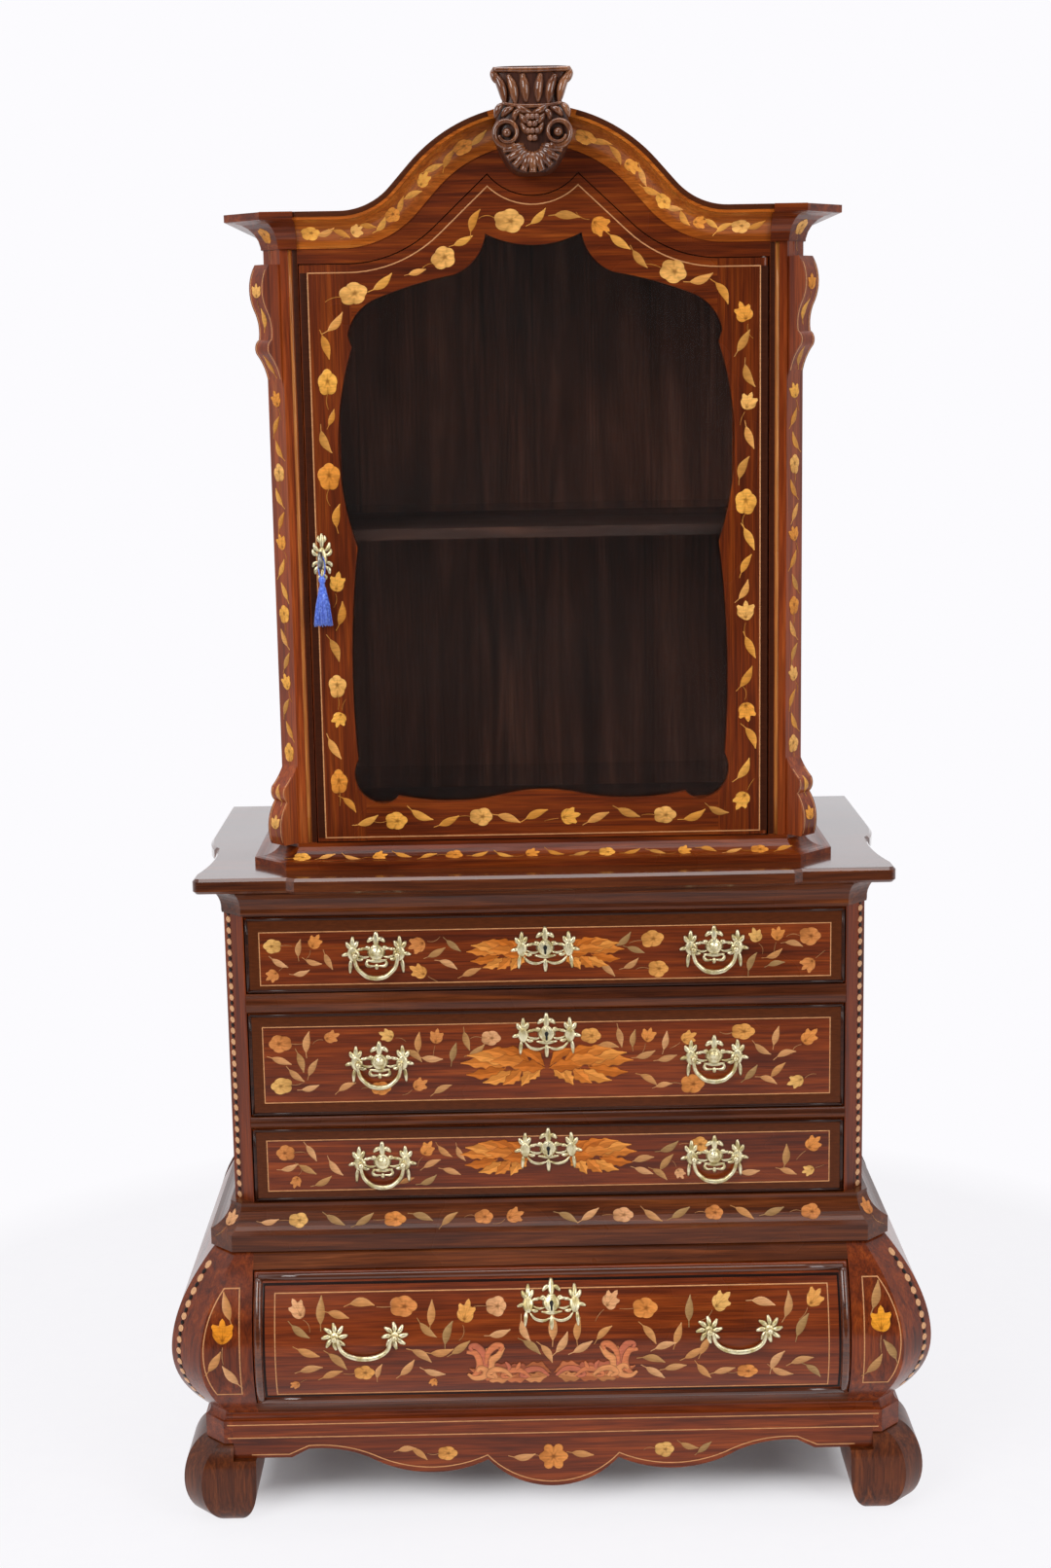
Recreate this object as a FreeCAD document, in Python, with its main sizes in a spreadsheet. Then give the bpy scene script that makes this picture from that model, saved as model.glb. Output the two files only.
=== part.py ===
import FreeCAD, Part

import math
import os
import re
from types import SimpleNamespace

from FreeCAD import Placement, Rotation, Vector

# Cabinet on chest: a glazed cabinet with an arched cornice on a chest of three straight drawers over
# one swelling (bombe) drawer. Millimetres, +Z up, the front faces -Y. The origin is on the floor under
# the middle of the whole object. "Depth" is measured backwards from the plane of the straight drawers.

MITRE = 2 - math.sqrt(2)  # what a canted corner gains for each unit that its moulding stands out
ROUND = 1 - math.sqrt(0.5)  # how far the middle of a quarter round lies inside its corner, per radius
TOUCH = 1e-6  # two levels closer than this are one

SIZES = {
    # feet, plinth and apron
    "foot_height": 124,
    "foot_swell": 37,
    "foot_top_out": 47,
    "foot_width": 72,
    "foot_depth": 100,
    "foot_toe": 38,
    "plinth_height": 48,
    "plinth_out": 50,
    "plinth_cove": 14,
    "plinth_thick": 22,
    "apron_thick": 20,
    "apron_inset": 3,
    "apron_half": 466,
    "apron_end_drop": 25,
    "apron_arch_drop": 12,
    "apron_cusp_drop": 34,
    "apron_lobe_drop": 52,
    "apron_centre_drop": 77,
    "apron_cusp_half": 95,
    # swelling lower carcase
    "bombe_lower_rail": 22,
    "bombe_opening": 195,
    "bombe_upper_rail": 23,
    "bombe_out_max": 91.5,
    "bombe_out_top": 27,
    "bombe_widest": 96,
    "bombe_cant_gain": 18,
    "bombe_side_thick": 38,
    "bombe_front_back": 14,
    "bombe_proud": 3,
    "bombe_ease": 4,
    "floor_board": 10,
    "waist_board": 20,
    "waist_out": 34,
    "waist_fascia": 24,
    "waist_lip": 5,
    # upper chest
    "chest_half": 458,
    "chest_depth": 495,
    "corner_cant": 29,
    "post_face": 1.5,
    "post_depth": 40,
    "side_thick": 22,
    "back_thick": 10,
    "rail_depth": 60,
    "rail_nose": 5,
    "waist_rail": 42,
    "third_opening": 112,
    "lower_rail": 17,
    "middle_opening": 155,
    "upper_rail": 28,
    "upper_opening": 113,
    "head_rail": 40,
    "head_moulding": 38,
    "head_out": 16,
    "runner_width": 24,
    "runner_thick": 14,
    # chest top
    "top_thick": 22,
    "top_front_over": 28,
    "top_bow": 8,
    "top_break_half": 350,
    "top_side_over": 36,
    "top_lobe": 7,
    "top_hollow": 12,
    "top_notch": 180,
    "top_back_over": 15,
    "top_nosing": 4,
    # drawers
    "drawer_gap": 1.5,
    "running_gap": 0.3,
    "front_thick": 22,
    "front_ease": 2,
    "lining_side": 10,
    "lining_clear": 15,
    "lining_bottom": 8,
    "lining_headroom": 14,
    "lining_guide": 3,
    "lock_width": 62,
    "lock_height": 44,
    "lock_thick": 12,
    # brasses
    "plate_thick": 1.6,
    "handle_inset": 186,
    "bombe_handle_inset": 159,
    "bail_half": 38,
    "bombe_bail_half": 51,
    "bombe_handle_lift": 13,
    "bail_wire": 2,
    "bail_turn": 4,
    "bail_side": 26,
    "bombe_bail_side": 22,
    "bail_stand": 11,
    "post_radius": 4,
    "pin_clearance": 0.05,
    "rosette_radius": 14,
    "escutcheon_half": 47,
    "escutcheon_height": 62,
    "upper_escutcheon_drop": 54,
    "middle_escutcheon_drop": 40,
    "third_escutcheon_drop": 40,
    "bombe_escutcheon_drop": 47,
    # cabinet
    "cabinet_half": 373,
    "cabinet_setback": 62,
    "cabinet_cant": 25,
    "cabinet_post": 24,
    "cabinet_post_depth": 38,
    "cabinet_side": 18,
    "cabinet_base": 31,
    "base_board": 10,
    "base_out": 42,
    "base_top_out": 5,
    "cabinet_clear": 811,
    "frieze_height": 20,
    "frieze_thick": 22,
    "shelf_height": 428,
    "shelf_thick": 15,
    "shelf_setback": 50,
    "bearer": 15,
    # cornice, roof and crest
    "cornice_height": 47,
    "cornice_out": 50,
    "cornice_fillet": 11,
    "cornice_foot": 3,
    "cornice_break": 6,
    "arch_flat_half": 262,
    "arch_cove_radius": 140,
    "arch_slope": 48,
    "arch_straight": 40,
    "roof_thick": 10,
    "crest_half": 54,
    "crest_height": 138,
    "crest_over": 46,
    "crest_out": 28,
    "crest_seat": 0.1,
    # corbels
    "corbel_width": 31,
    "upper_corbel_height": 168,
    "upper_corbel_out": 29,
    "lower_corbel_height": 112,
    "lower_corbel_out": 31,
    # door
    "door_gap": 1.5,
    "door_thick": 22,
    "door_cove_radius": 174,
    "door_slope": 43,
    "door_peak_half": 62,
    "door_peak_rise": 116,
    "lunette_dip": 29,
    "stile_nose": 69,
    "stile_belly": 49,
    "bottom_rail": 70,
    "sight_lobe": 16,
    "sight_cusp_rise": 38,
    "glass_thick": 3,
    "glass_setback": 10,
    "rebate": 8,
    "bead_thick": 6,
    "pivot_inset": 7,
    "pivot_radius": 2.5,
    "pivot_depth": 14,
    # door lock
    "key_height": 406,
    "key_inset": 19,
    "key_radius": 2.6,
    "key_reach": 24,
    "key_bow": 10,
    "key_bit": 9,
    "lock_case_width": 40,
    "lock_case_height": 50,
    "lock_case_thick": 14,
    "lock_wall": 2,
    "lock_clear": 0.8,
    "key_plate_half": 14,
    "key_plate_height": 70,
    "bolt_rise": 12,
    "bolt_height": 10,
    "bolt_throw": 9,
    "cord_radius": 1,
    "tassel_stand": 13,
    "tassel_drop": 30,
    "tassel_length": 66,
    "tassel_radius": 11,
}

# Every height is stacked from the floor up, every depth from the drawer plane.
DERIVED = {
    "opening_half": "chest_half - corner_cant - post_face",
    "plinth_top": "foot_height + plinth_height",
    "bombe_floor": "plinth_top + bombe_lower_rail",
    "bombe_roof": "bombe_floor + bombe_opening",
    "bombe_top": "bombe_roof + bombe_upper_rail",
    "waist_board_top": "bombe_top + waist_board",
    "third_floor": "waist_board_top + waist_rail",
    "third_roof": "third_floor + third_opening",
    "middle_floor": "third_roof + lower_rail",
    "middle_roof": "middle_floor + middle_opening",
    "upper_floor": "middle_roof + upper_rail",
    "upper_roof": "upper_floor + upper_opening",
    "top_under": "upper_roof + head_rail",
    "top_upper": "top_under + top_thick",
    "cabinet_floor_top": "top_upper + cabinet_base",
    "door_bottom": "cabinet_floor_top + door_gap",
    "frieze_low": "cabinet_floor_top + cabinet_clear",
    "door_shoulder": "frieze_low - door_gap",
    "cornice_low": "frieze_low + frieze_height",
    "cornice_top": "cornice_low + cornice_height",
    "door_half": "cabinet_half - cabinet_cant - cabinet_post - door_gap",
    "door_opening_half": "cabinet_half - cabinet_cant - cabinet_post",
    "post_back": "cabinet_setback + cabinet_post_depth",
    "door_back": "cabinet_setback + door_thick",
    "shelf_under": "cabinet_floor_top + shelf_height",
    "key_z": "door_bottom + key_height",
    "lining_end": "chest_depth - back_thick - lining_clear",
    "handle_spread": "opening_half - drawer_gap - handle_inset",
    "bombe_handle_spread": "opening_half - drawer_gap - bombe_handle_inset",
    "widest_z": "plinth_top + bombe_widest",
    "bombe_handle_z": "bombe_floor + bombe_opening / 2 + bombe_handle_lift",
    "handle_swell": "bombe_out_max - (bombe_out_max - bombe_out_top)"
                    " * ((bombe_handle_z - widest_z) / (bombe_top - widest_z))^2",
    "front_reach": "handle_swell + bombe_proud + bail_stand + post_radius",
    "drawer_plane": "(front_reach - chest_depth - top_back_over) / 2",
    "chest_back_plane": "drawer_plane + chest_depth",
    "cabinet_plane": "drawer_plane + cabinet_setback",
}

doc = FreeCAD.newDocument("CabinetOnChest")
home = {alias: "Sizes" for alias in SIZES}
home.update({alias: "Derived" for alias in DERIVED})


def bound(text):
    """An expression with each size named by the sheet that holds it."""
    return re.sub(r"[a-z]+(?:_[a-z]+)+|bearer|rebate", lambda m: f"{home[m.group()]}.{m.group()}", text)


def make_sheet(name, cells):
    """A sheet with one named cell per size."""
    sheet = doc.addObject("Spreadsheet::Sheet", name)
    for row, (alias, text) in enumerate(cells.items(), 1):
        sheet.set(f"A{row}", alias)
        sheet.set(f"B{row}", text)
        sheet.setAlias(f"B{row}", alias)
    doc.recompute()
    return {alias: float(sheet.get(alias)) for alias in cells}


v = SimpleNamespace(**make_sheet("Sizes", {alias: str(value) for alias, value in SIZES.items()}))
for alias, value in make_sheet("Derived", {k: "=" + bound(text) for k, text in DERIVED.items()}).items():
    setattr(v, alias, value)

nodes = {}


def node(item, name):
    """Names a sub-part and lists it for writing."""
    item.Label = name
    nodes[name] = item
    return item


def board(name, x, y, z):
    """A square-edged board between two expressions on each axis; depth is from the drawer plane."""
    item = doc.addObject("Part::Box", name)
    y = [f"drawer_plane + {end}" for end in y]
    for side, axis, (low, high) in zip(("Length", "Width", "Height"), "xyz", (x, y, z)):
        item.setExpression(side, bound(f"{high} - ({low})"))
        item.setExpression(f"Placement.Base.{axis}", bound(low))
    return item


def board_pair(name, x, y, z):
    """Two like boards, left and right."""
    low, high = x
    return [board(name + "_right", x, y, z), board(name + "_left", (f"-({high})", f"-({low})"), y, z)]


def group(name, items):
    """Several solids that make one node."""
    item = doc.addObject("Part::Compound", name)
    item.Links = items
    return node(item, name)


def feature(name, shape):
    """A worked shape, drawn with depth from the drawer plane and then set in its place."""
    item = doc.addObject("Part::Feature", name)
    item.Shape = shape
    item.Placement = Placement(Vector(0, v.drawer_plane, 0), Rotation())
    item.setExpression("Placement.Base.y", bound("drawer_plane"))
    return item


def mirrored(name, source):
    """The left-hand copy of a right-hand piece."""
    item = doc.addObject("Part::Mirroring", name)
    item.Source = source
    item.Normal = Vector(1, 0, 0)
    return item


def both_hands(name, shape):
    """A worked shape and its mirror image as one node."""
    right = feature(name + "_right", shape)
    return group(name, [right, mirrored(name + "_left", right)])


def curve(points):
    """Two points make a line and three make an arc, in a sketch's own plane."""
    corners = [Vector(a, b, 0) for a, b in points]
    return Part.LineSegment(*corners) if len(corners) == 2 else Part.Arc(*corners)


def mirror_segments(segments):
    """The same run of lines and arcs on the other side of the middle, in the other direction."""
    return [tuple((-a, b) for a, b in reversed(points)) for points in reversed(segments)]


def polygon(points):
    """Straight sides round a closed outline."""
    return list(zip(points, points[1:] + points[:1]))


def sketch_on(body, plane, segments, name):
    """A sketch of lines and arcs on one of the body's own planes."""
    sketch = body.newObject("Sketcher::SketchObject", name)
    support = next(item for item in body.Origin.OriginFeatures if item.Role == plane)
    sketch.AttachmentSupport = [(support, "")]
    sketch.MapMode = "FlatFace"
    for points in segments:
        sketch.addGeometry(curve(points), False)
    return sketch


def padded(name, plane, segments, length, x="0", y="drawer_plane", z="0"):
    """A body whose outline is drawn once and given a thickness towards +X, +Y or +Z."""
    body = doc.addObject("PartDesign::Body", name)
    pad = body.newObject("PartDesign::Pad", name + "_pad")
    pad.Profile = sketch_on(body, plane, segments, name + "_outline")
    pad.setExpression("Length", bound(length))
    pad.Reversed = plane == "XZ_Plane"
    for axis, text in zip("xyz", (x, y, z)):
        body.setExpression(f"Placement.Base.{axis}", bound(text))
    return body


def pocket(body, segments, name, length=None, start="0"):
    """Cuts an outline on the body's front plane, right through or to a depth, from a start depth."""
    sketch = sketch_on(body, "XZ_Plane", segments, name + "_outline")
    sketch.setExpression("AttachmentOffset.Base.z", bound(f"-({start})"))
    cut = body.newObject("PartDesign::Pocket", name)
    cut.Profile = sketch
    cut.setExpression("Length", bound(length))
    doc.recompute()


def bevelled(body, name, size):
    """Bevels the edges round the front face of a padded board."""
    doc.recompute()
    pad = body.Tip
    edges = [f"Edge{i}" for i, edge in enumerate(pad.Shape.Edges, 1) if edge.BoundBox.YMax < TOUCH]
    bevel = body.newObject("PartDesign::Chamfer", name)
    bevel.Base = (pad, edges)
    bevel.setExpression("Size", bound(size))


def loft(sections, ruled=False):
    """A solid through level outlines, each a list of (x, depth, z) corners."""
    wires = [Part.makePolygon([Vector(*corner) for corner in points + points[:1]]) for points in sections]
    return Part.makeLoft(wires, True, ruled)


def plan(half, front, cant, back):
    """Corners of a plan with canted front corners, from the left back round to the right back."""
    return [(-half, back), (-half, front + cant), (cant - half, front),
            (half - cant, front), (half, front + cant), (half, back)]


def distinct(points):
    """The points without those that repeat the one before."""
    kept = []
    for point in points:
        if not kept or math.dist(point, kept[-1]) > TOUCH:
            kept.append(point)
    return kept


def mitred_runs(levels, outer, inner, back):
    """A moulding round five faces: one mitred length for each. levels are (z, how far it stands out).

    Each mitre is a plane, which runs in to where it meets the canted face behind: near lies on the mitre
    beside the front and far on the one beside the side.
    """
    half, front, cant = outer
    rounds = [(z, plan(half + out, front - out, cant + MITRE * out, back)) for z, out in levels]
    inner_half, inner_front, inner_cant = inner
    corner = inner_half - inner_cant
    reach = (corner - inner_front - half + front + cant) / (2 - MITRE)
    near = (half - cant + (1 - MITRE) * reach, front - reach)
    far = (half + reach, front + cant - (1 - MITRE) * reach)
    right = [(corner, inner_front), near, far, (inner_half, inner_front + inner_cant), (inner_half, back)]
    inside = [(-x, depth) for x, depth in reversed(right)] + right
    spans = [(0, 2), (2, 3), (3, 6), (6, 7), (7, 9)]
    runs = []
    for i, (first, last) in enumerate(spans):
        behind = distinct(reversed(inside[first:last + 1]))
        sections = [[(*corner, z) for corner in corners[i:i + 2] + behind] for z, corners in rounds]
        runs.append(loft(sections, True))
    return runs


def cove(start, end, hollow, count):
    """Levels along a hollow arc between two (z, out) points, which sags by hollow off its chord."""
    chord = math.dist(start, end)
    radius = (chord ** 2 / 4 + hollow ** 2) / (2 * abs(hollow))
    spread = math.asin(chord / 2 / radius)
    along = ((end[0] - start[0]) / chord, (end[1] - start[1]) / chord)
    across = (-along[1], along[0])
    points = []
    for step in range(count + 1):
        angle = spread * (2 * step / count - 1)
        run = chord / 2 + radius * math.sin(angle)
        sag = math.copysign(radius * (math.cos(angle) - math.cos(spread)), hollow)
        points.append(tuple(start[i] + along[i] * run + across[i] * sag for i in range(2)))
    return points


def solid_box(x, y, z):
    """A plain block between two numbers on each axis."""
    corner = Vector(x[0], y[0], z[0])
    return Part.makeBox(x[1] - x[0], y[1] - y[0], z[1] - z[0], corner)


def rod(radius, start, end):
    """A round bar between two (x, depth, z) points."""
    axis = Vector(*end) - Vector(*start)
    return Part.makeCylinder(radius, axis.Length, Vector(*start), axis)


def drawn(segments, origin, right=Vector(1, 0, 0)):
    """Edges of an upright outline: its first number runs along right, its second one straight up."""
    edges = []
    for points in segments:
        corners = [origin + right * a + Vector(0, 0, b) for a, b in points]
        edges.append((Part.LineSegment(*corners) if len(corners) == 2 else Part.Arc(*corners)).toShape())
    return edges


def extruded(segments, origin, right, depth):
    """A solid with an upright outline, drawn out along a depth vector."""
    edges = drawn(segments, origin, right)
    return Part.Face(Part.Wire(Part.__sortEdges__(edges))).extrude(depth)


def slab(segments, front, back):
    """A solid with an outline seen from the front, between two depths."""
    return extruded(segments, Vector(0, front, 0), Vector(1, 0, 0), Vector(0, back - front, 0))


def steps(low, high, count):
    """Evenly spaced values, both ends included."""
    return [low + (high - low) * i / count for i in range(count + 1)]


# Shape of the swelling lower carcase

LOFT_STEPS = 8


def bombe_out(z):
    """How far the lower carcase stands out at a height: a parabola each way from its widest height."""
    if z > v.widest_z:
        share = (z - v.widest_z) / (v.bombe_top - v.widest_z)
        return v.bombe_out_max - (v.bombe_out_max - v.bombe_out_top) * share ** 2
    share = (v.widest_z - z) / v.bombe_widest
    return v.bombe_out_max - (v.bombe_out_max - v.plinth_out) * share ** 2


def bombe_plan(z, back):
    """Plan of the lower carcase at a height."""
    out = bombe_out(z)
    cant = v.corner_cant + v.bombe_cant_gain * out / v.bombe_out_max
    return plan(v.chest_half + out, -out, cant, back)


def bombe_front(half, back, low, high, proud=0):
    """A piece of the swelling front between two heights, from side to side, with a flat back."""
    return loft([[(-half, -bombe_out(z) - proud, z), (half, -bombe_out(z) - proud, z),
                  (half, back, z), (-half, back, z)] for z in steps(low, high, LOFT_STEPS)])


# Feet, apron and plinth

def foot_outline(z, angle):
    """Outer reach, inner edge and depth of a foot at a height: an ellipse outside, a curved toe inside."""
    swell = v.foot_swell * math.cos(angle)
    rise = min(1, 2 * z / v.foot_height)
    quarter = math.sqrt(1 - (1 - rise) ** 2)
    outer = v.chest_half + v.foot_top_out
    width = v.foot_toe + (v.foot_width - v.foot_toe) * quarter
    depth = v.foot_toe + (v.foot_depth - v.foot_toe) * quarter
    return outer + swell, outer - width, depth, swell


def foot(front):
    """A bracket foot on the right-hand side; a front foot has a canted corner and swells forwards too."""
    sections = []
    for angle in steps(-math.pi / 2, math.pi / 2, LOFT_STEPS):
        z = v.foot_height / 2 * (1 + math.sin(angle))
        outer, inner, depth, swell = foot_outline(z, angle)
        if front:
            face = v.corner_cant / 2 - v.plinth_out - swell * 3 / 4
            back = v.corner_cant / 2 - v.plinth_out + depth
            cant = v.corner_cant
            corners = [(inner, face), (outer - cant, face), (outer, face + cant)]
            corners += [(outer, back), (inner, back)]
        else:
            face = v.chest_depth - depth
            corners = [(inner, face), (outer, face), (outer, v.chest_depth), (inner, v.chest_depth)]
        sections.append([(x, depth_at, z) for x, depth_at in corners])
    return loft(sections)


apron_front = v.apron_inset - v.plinth_out
apron_back = apron_front + v.apron_thick
apron_seat = solid_box((0, v.apron_half), (-v.chest_depth, apron_back),
                       (v.foot_height - v.apron_end_drop, 2 * v.foot_height))
front_foot = feature("front_foot_right", foot(True).cut(apron_seat))
rear_foot = feature("rear_foot_right", foot(False))
group("feet", [front_foot, mirrored("front_foot_left", front_foot),
               rear_foot, mirrored("rear_foot_left", rear_foot)])

apron_top = v.foot_height
apron_end = apron_top - v.apron_end_drop
apron_arch = apron_top - v.apron_arch_drop
apron_cusp = apron_top - v.apron_cusp_drop
apron_lobe = apron_top - v.apron_lobe_drop
apron_inner = v.apron_half - v.foot_width - v.apron_end_drop / 2
arch_foot = apron_inner - v.apron_end_drop
wave = (v.apron_half + v.apron_cusp_half) / 2
apron_right = [
    ((v.apron_half, apron_top), (v.apron_half, apron_end)),
    ((v.apron_half, apron_end), (apron_inner, apron_end)),
    ((apron_inner, apron_end), (arch_foot, apron_arch)),
    ((arch_foot, apron_arch), ((arch_foot + wave) / 2 + v.apron_end_drop / 3, apron_arch),
     (wave - v.apron_arch_drop, (apron_cusp + apron_arch) / 2 - v.apron_arch_drop / 3)),
    ((wave - v.apron_arch_drop, (apron_cusp + apron_arch) / 2 - v.apron_arch_drop / 3),
     ((wave + v.apron_cusp_half) / 2, apron_lobe), (v.apron_cusp_half, apron_cusp)),
]
apron_segments = apron_right + mirror_segments(apron_right) + [
    ((v.apron_cusp_half, apron_cusp), (0, apron_top - v.apron_centre_drop),
     (-v.apron_cusp_half, apron_cusp)),
    ((-v.apron_half, apron_top), (v.apron_half, apron_top)),
]
node(padded("apron", "XZ_Plane", apron_segments, "apron_thick",
            y="drawer_plane - plinth_out + apron_inset"), "apron")

COVE_STEPS = 6
plinth_half = v.chest_half + v.plinth_out
plinth_levels = [(v.foot_height, 0)]
plinth_levels += cove((v.plinth_top - v.plinth_cove, 0), (v.plinth_top, -v.plinth_cove / 2),
                      -v.plinth_cove / 5, COVE_STEPS)
plinth_runs = mitred_runs(plinth_levels, (plinth_half, -v.plinth_out, v.corner_cant),
                          (plinth_half - v.plinth_thick, v.plinth_thick - v.plinth_out,
                           v.corner_cant - MITRE * v.plinth_thick),
                          v.chest_depth)
plinth_pieces = [feature(f"base_plinth_{i}", run) for i, run in enumerate(plinth_runs)]
plinth_pieces.append(board("base_plinth_back", ("-(chest_half + plinth_out - plinth_thick)",
                                                "chest_half + plinth_out - plinth_thick"),
                           ("chest_depth - plinth_thick", "chest_depth"), ("foot_height", "plinth_top")))
group("base_plinth", plinth_pieces)

# Lower carcase: sides, corner posts and dust boards

side_back = v.chest_depth - v.back_thick
bombe_levels = steps(v.plinth_top, v.bombe_top, LOFT_STEPS)
post_sections = []
side_sections = []
for z in bombe_levels:
    front_corner, side_corner, back_corner = bombe_plan(z, side_back)[3:]
    inside = side_corner[0] - v.bombe_side_thick
    post_sections.append([(v.opening_half, front_corner[1], z), (*front_corner, z), (*side_corner, z),
                          (inside, v.front_thick, z), (v.opening_half, v.front_thick, z)])
    side_sections.append([(*side_corner, z), (*back_corner, z), (inside, side_back, z),
                          (inside, v.front_thick, z)])
both_hands("lower_corner_posts", loft(post_sections))
both_hands("lower_sides", loft(side_sections))

floor_half = "chest_half + plinth_out - bombe_side_thick"
inside_depth = ("front_thick", "chest_depth - back_thick")
floor = board("floor_board_piece", (f"-({floor_half})", floor_half), inside_depth,
              ("plinth_top", "plinth_top + floor_board"))
waist = padded("waist_board_piece", "XY_Plane",
               polygon(plan(v.chest_half, 0, v.corner_cant, v.chest_depth)), "waist_board", z="bombe_top")
group("dust_boards", [floor, waist])

# Front rails: two swelling ones round the bombe drawer and four straight ones above

front_slab = bombe_front(v.opening_half, v.front_thick, v.plinth_top, v.bombe_top)
slab_x = (-v.chest_half, v.chest_half)
slab_y = (-v.chest_depth, v.chest_depth)
rails = [
    feature("bombe_rail_lower", front_slab.common(solid_box(slab_x, slab_y, (v.plinth_top, v.bombe_floor)))),
    feature("bombe_rail_upper", front_slab.common(solid_box(slab_x, slab_y, (v.bombe_roof, v.bombe_top)))),
]
for name, low, high in (("waist_rail_piece", "waist_board_top", "third_floor"),
                        ("head_rail_piece", "upper_roof", "top_under")):
    rails.append(board(name, ("-opening_half", "opening_half"), ("0", "rail_depth"), (low, high)))
for name, low, thick in (("lower_rail_piece", "third_roof", v.lower_rail),
                         ("upper_rail_piece", "middle_roof", v.upper_rail)):
    nose = [((0, 0), (-v.rail_nose, thick / 2), (0, thick)), ((0, thick), (v.rail_depth, thick)),
            ((v.rail_depth, thick), (v.rail_depth, 0)), ((v.rail_depth, 0), (0, 0))]
    rails.append(padded(name, "YZ_Plane", nose, "2 * opening_half", x="-opening_half", z=low))
group("front_rails", rails)

# Waist and head mouldings round the upper chest

chest_plan = (v.chest_half, 0, v.corner_cant)
waist_plan = (v.chest_half + v.waist_out, -v.waist_out, v.corner_cant + v.waist_lip)
fascia_top = v.bombe_top + v.waist_fascia
waist_levels = [(v.bombe_top, 0), (fascia_top, 0)]
waist_levels += cove((fascia_top + 1, -2), (v.third_floor - v.waist_lip, v.waist_lip - v.waist_out),
                     -v.waist_lip, COVE_STEPS)
waist_levels += [(v.third_floor, v.waist_lip - v.waist_out)]
waist_runs = mitred_runs(waist_levels, waist_plan, chest_plan, v.chest_depth)
group("waist_moulding", [feature(f"waist_moulding_{i}", run) for i, run in enumerate(waist_runs)])

head_low = v.top_under - v.head_moulding
head_levels = [(head_low, v.head_out / 6)]
head_levels += cove((head_low + v.head_out / 4, v.head_out / 5), (v.top_under - v.head_out / 4, v.head_out),
                    -v.head_out / 4, COVE_STEPS)
head_levels += [(v.top_under, v.head_out)]
head_runs = mitred_runs(head_levels, chest_plan, chest_plan, v.chest_depth)
group("head_moulding", [feature(f"head_moulding_{i}", run) for i, run in enumerate(head_runs)])

# Upper chest: posts, sides, backs, runners and top

chest_post = polygon([(v.opening_half, 0), (v.chest_half - v.corner_cant, 0), (v.chest_half, v.corner_cant),
                      (v.chest_half, v.post_depth), (v.opening_half, v.post_depth)])
post = padded("corner_post_right", "XY_Plane", chest_post, "top_under - waist_board_top",
              z="waist_board_top")
group("corner_posts", [post, mirrored("corner_post_left", post)])
group("chest_sides", board_pair("chest_side", ("chest_half - side_thick", "chest_half"),
                                ("post_depth", "chest_depth"), ("waist_board_top", "top_under")))

lower_back = [(v.chest_half + bombe_out(z), z) for z in (v.plinth_top, v.widest_z, v.bombe_top)]
lower_back = [(x - v.back_thick / 2, z) for x, z in lower_back]
back_outline = [tuple(lower_back), mirror_segments([tuple(lower_back)])[0],
                (lower_back[0], (-lower_back[0][0], lower_back[0][1])),
                (lower_back[2], (-lower_back[2][0], lower_back[2][1]))]
backs = [padded("lower_back_board", "XZ_Plane", back_outline, "back_thick",
                y="chest_back_plane - back_thick"),
         board("upper_back_board", ("side_thick - chest_half", "chest_half - side_thick"),
               ("chest_depth - back_thick", "chest_depth"), ("waist_board_top", "top_under"))]
group("chest_back", backs)

lining_outer = "opening_half - drawer_gap - lining_guide"
lining_inner = "opening_half - drawer_gap - lining_guide - lining_side"
runner_inner = "opening_half - drawer_gap - lining_guide - runner_width"
runners = []
for level in ("upper", "middle", "third"):
    runners += board_pair(f"{level}_runner", (runner_inner, "chest_half - side_thick"),
                          ("rail_depth", "chest_depth - back_thick"),
                          (f"{level}_floor - runner_thick", f"{level}_floor"))
runners += board_pair("bombe_runner", (runner_inner, floor_half), inside_depth,
                      ("plinth_top + floor_board", "bombe_floor"))
group("drawer_runners", runners)

top_half = v.chest_half + v.top_side_over
lobe_half = top_half + v.top_lobe
ear = -v.top_front_over
bow = ear - v.top_bow
turn = v.top_hollow * 5 / 6
top_back = v.chest_depth + v.top_back_over
notch = (top_half - v.top_hollow + v.top_lobe, v.top_notch + v.top_lobe)
top_right = [
    ((v.top_break_half, bow), (v.top_break_half + v.top_hollow, ear)),
    ((v.top_break_half + v.top_hollow, ear), (top_half - turn, ear)),
    ((top_half - turn, ear), (top_half - turn * ROUND, ear + turn * ROUND), (top_half, ear + turn)),
    ((top_half, ear + turn), (top_half, v.top_lobe)),
    ((top_half, v.top_lobe), (top_half - v.top_hollow, v.top_notch / 2), (top_half - turn, v.top_notch)),
    ((top_half - turn, v.top_notch), notch),
    (notch, (lobe_half - v.top_lobe / 7, v.top_notch * 4 / 3), (lobe_half, v.top_notch * 3 / 2)),
    ((lobe_half, v.top_notch * 3 / 2), (lobe_half, top_back)),
]
top_segments = top_right + mirror_segments(top_right) + [
    ((-v.top_break_half, bow), (0, bow - v.top_bow / 2), (v.top_break_half, bow)),
    ((lobe_half, top_back), (-lobe_half, top_back)),
]
top_outline = Part.Wire(Part.__sortEdges__([curve(points).toShape() for points in top_segments]))
top_inset = top_outline.makeOffset2D(-v.top_nosing, join=2)
top_levels = [(v.top_under, top_inset), (v.top_under + v.top_nosing, top_outline),
              (v.top_upper - v.top_nosing, top_outline), (v.top_upper, top_inset)]
top_board = Part.makeLoft([wire.translated(Vector(0, 0, z)) for z, wire in top_levels], True, True)
node(feature("chest_top", top_board), "chest_top")

# Cabinet: plinth, floor, posts, sides, back and shelf

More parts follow.
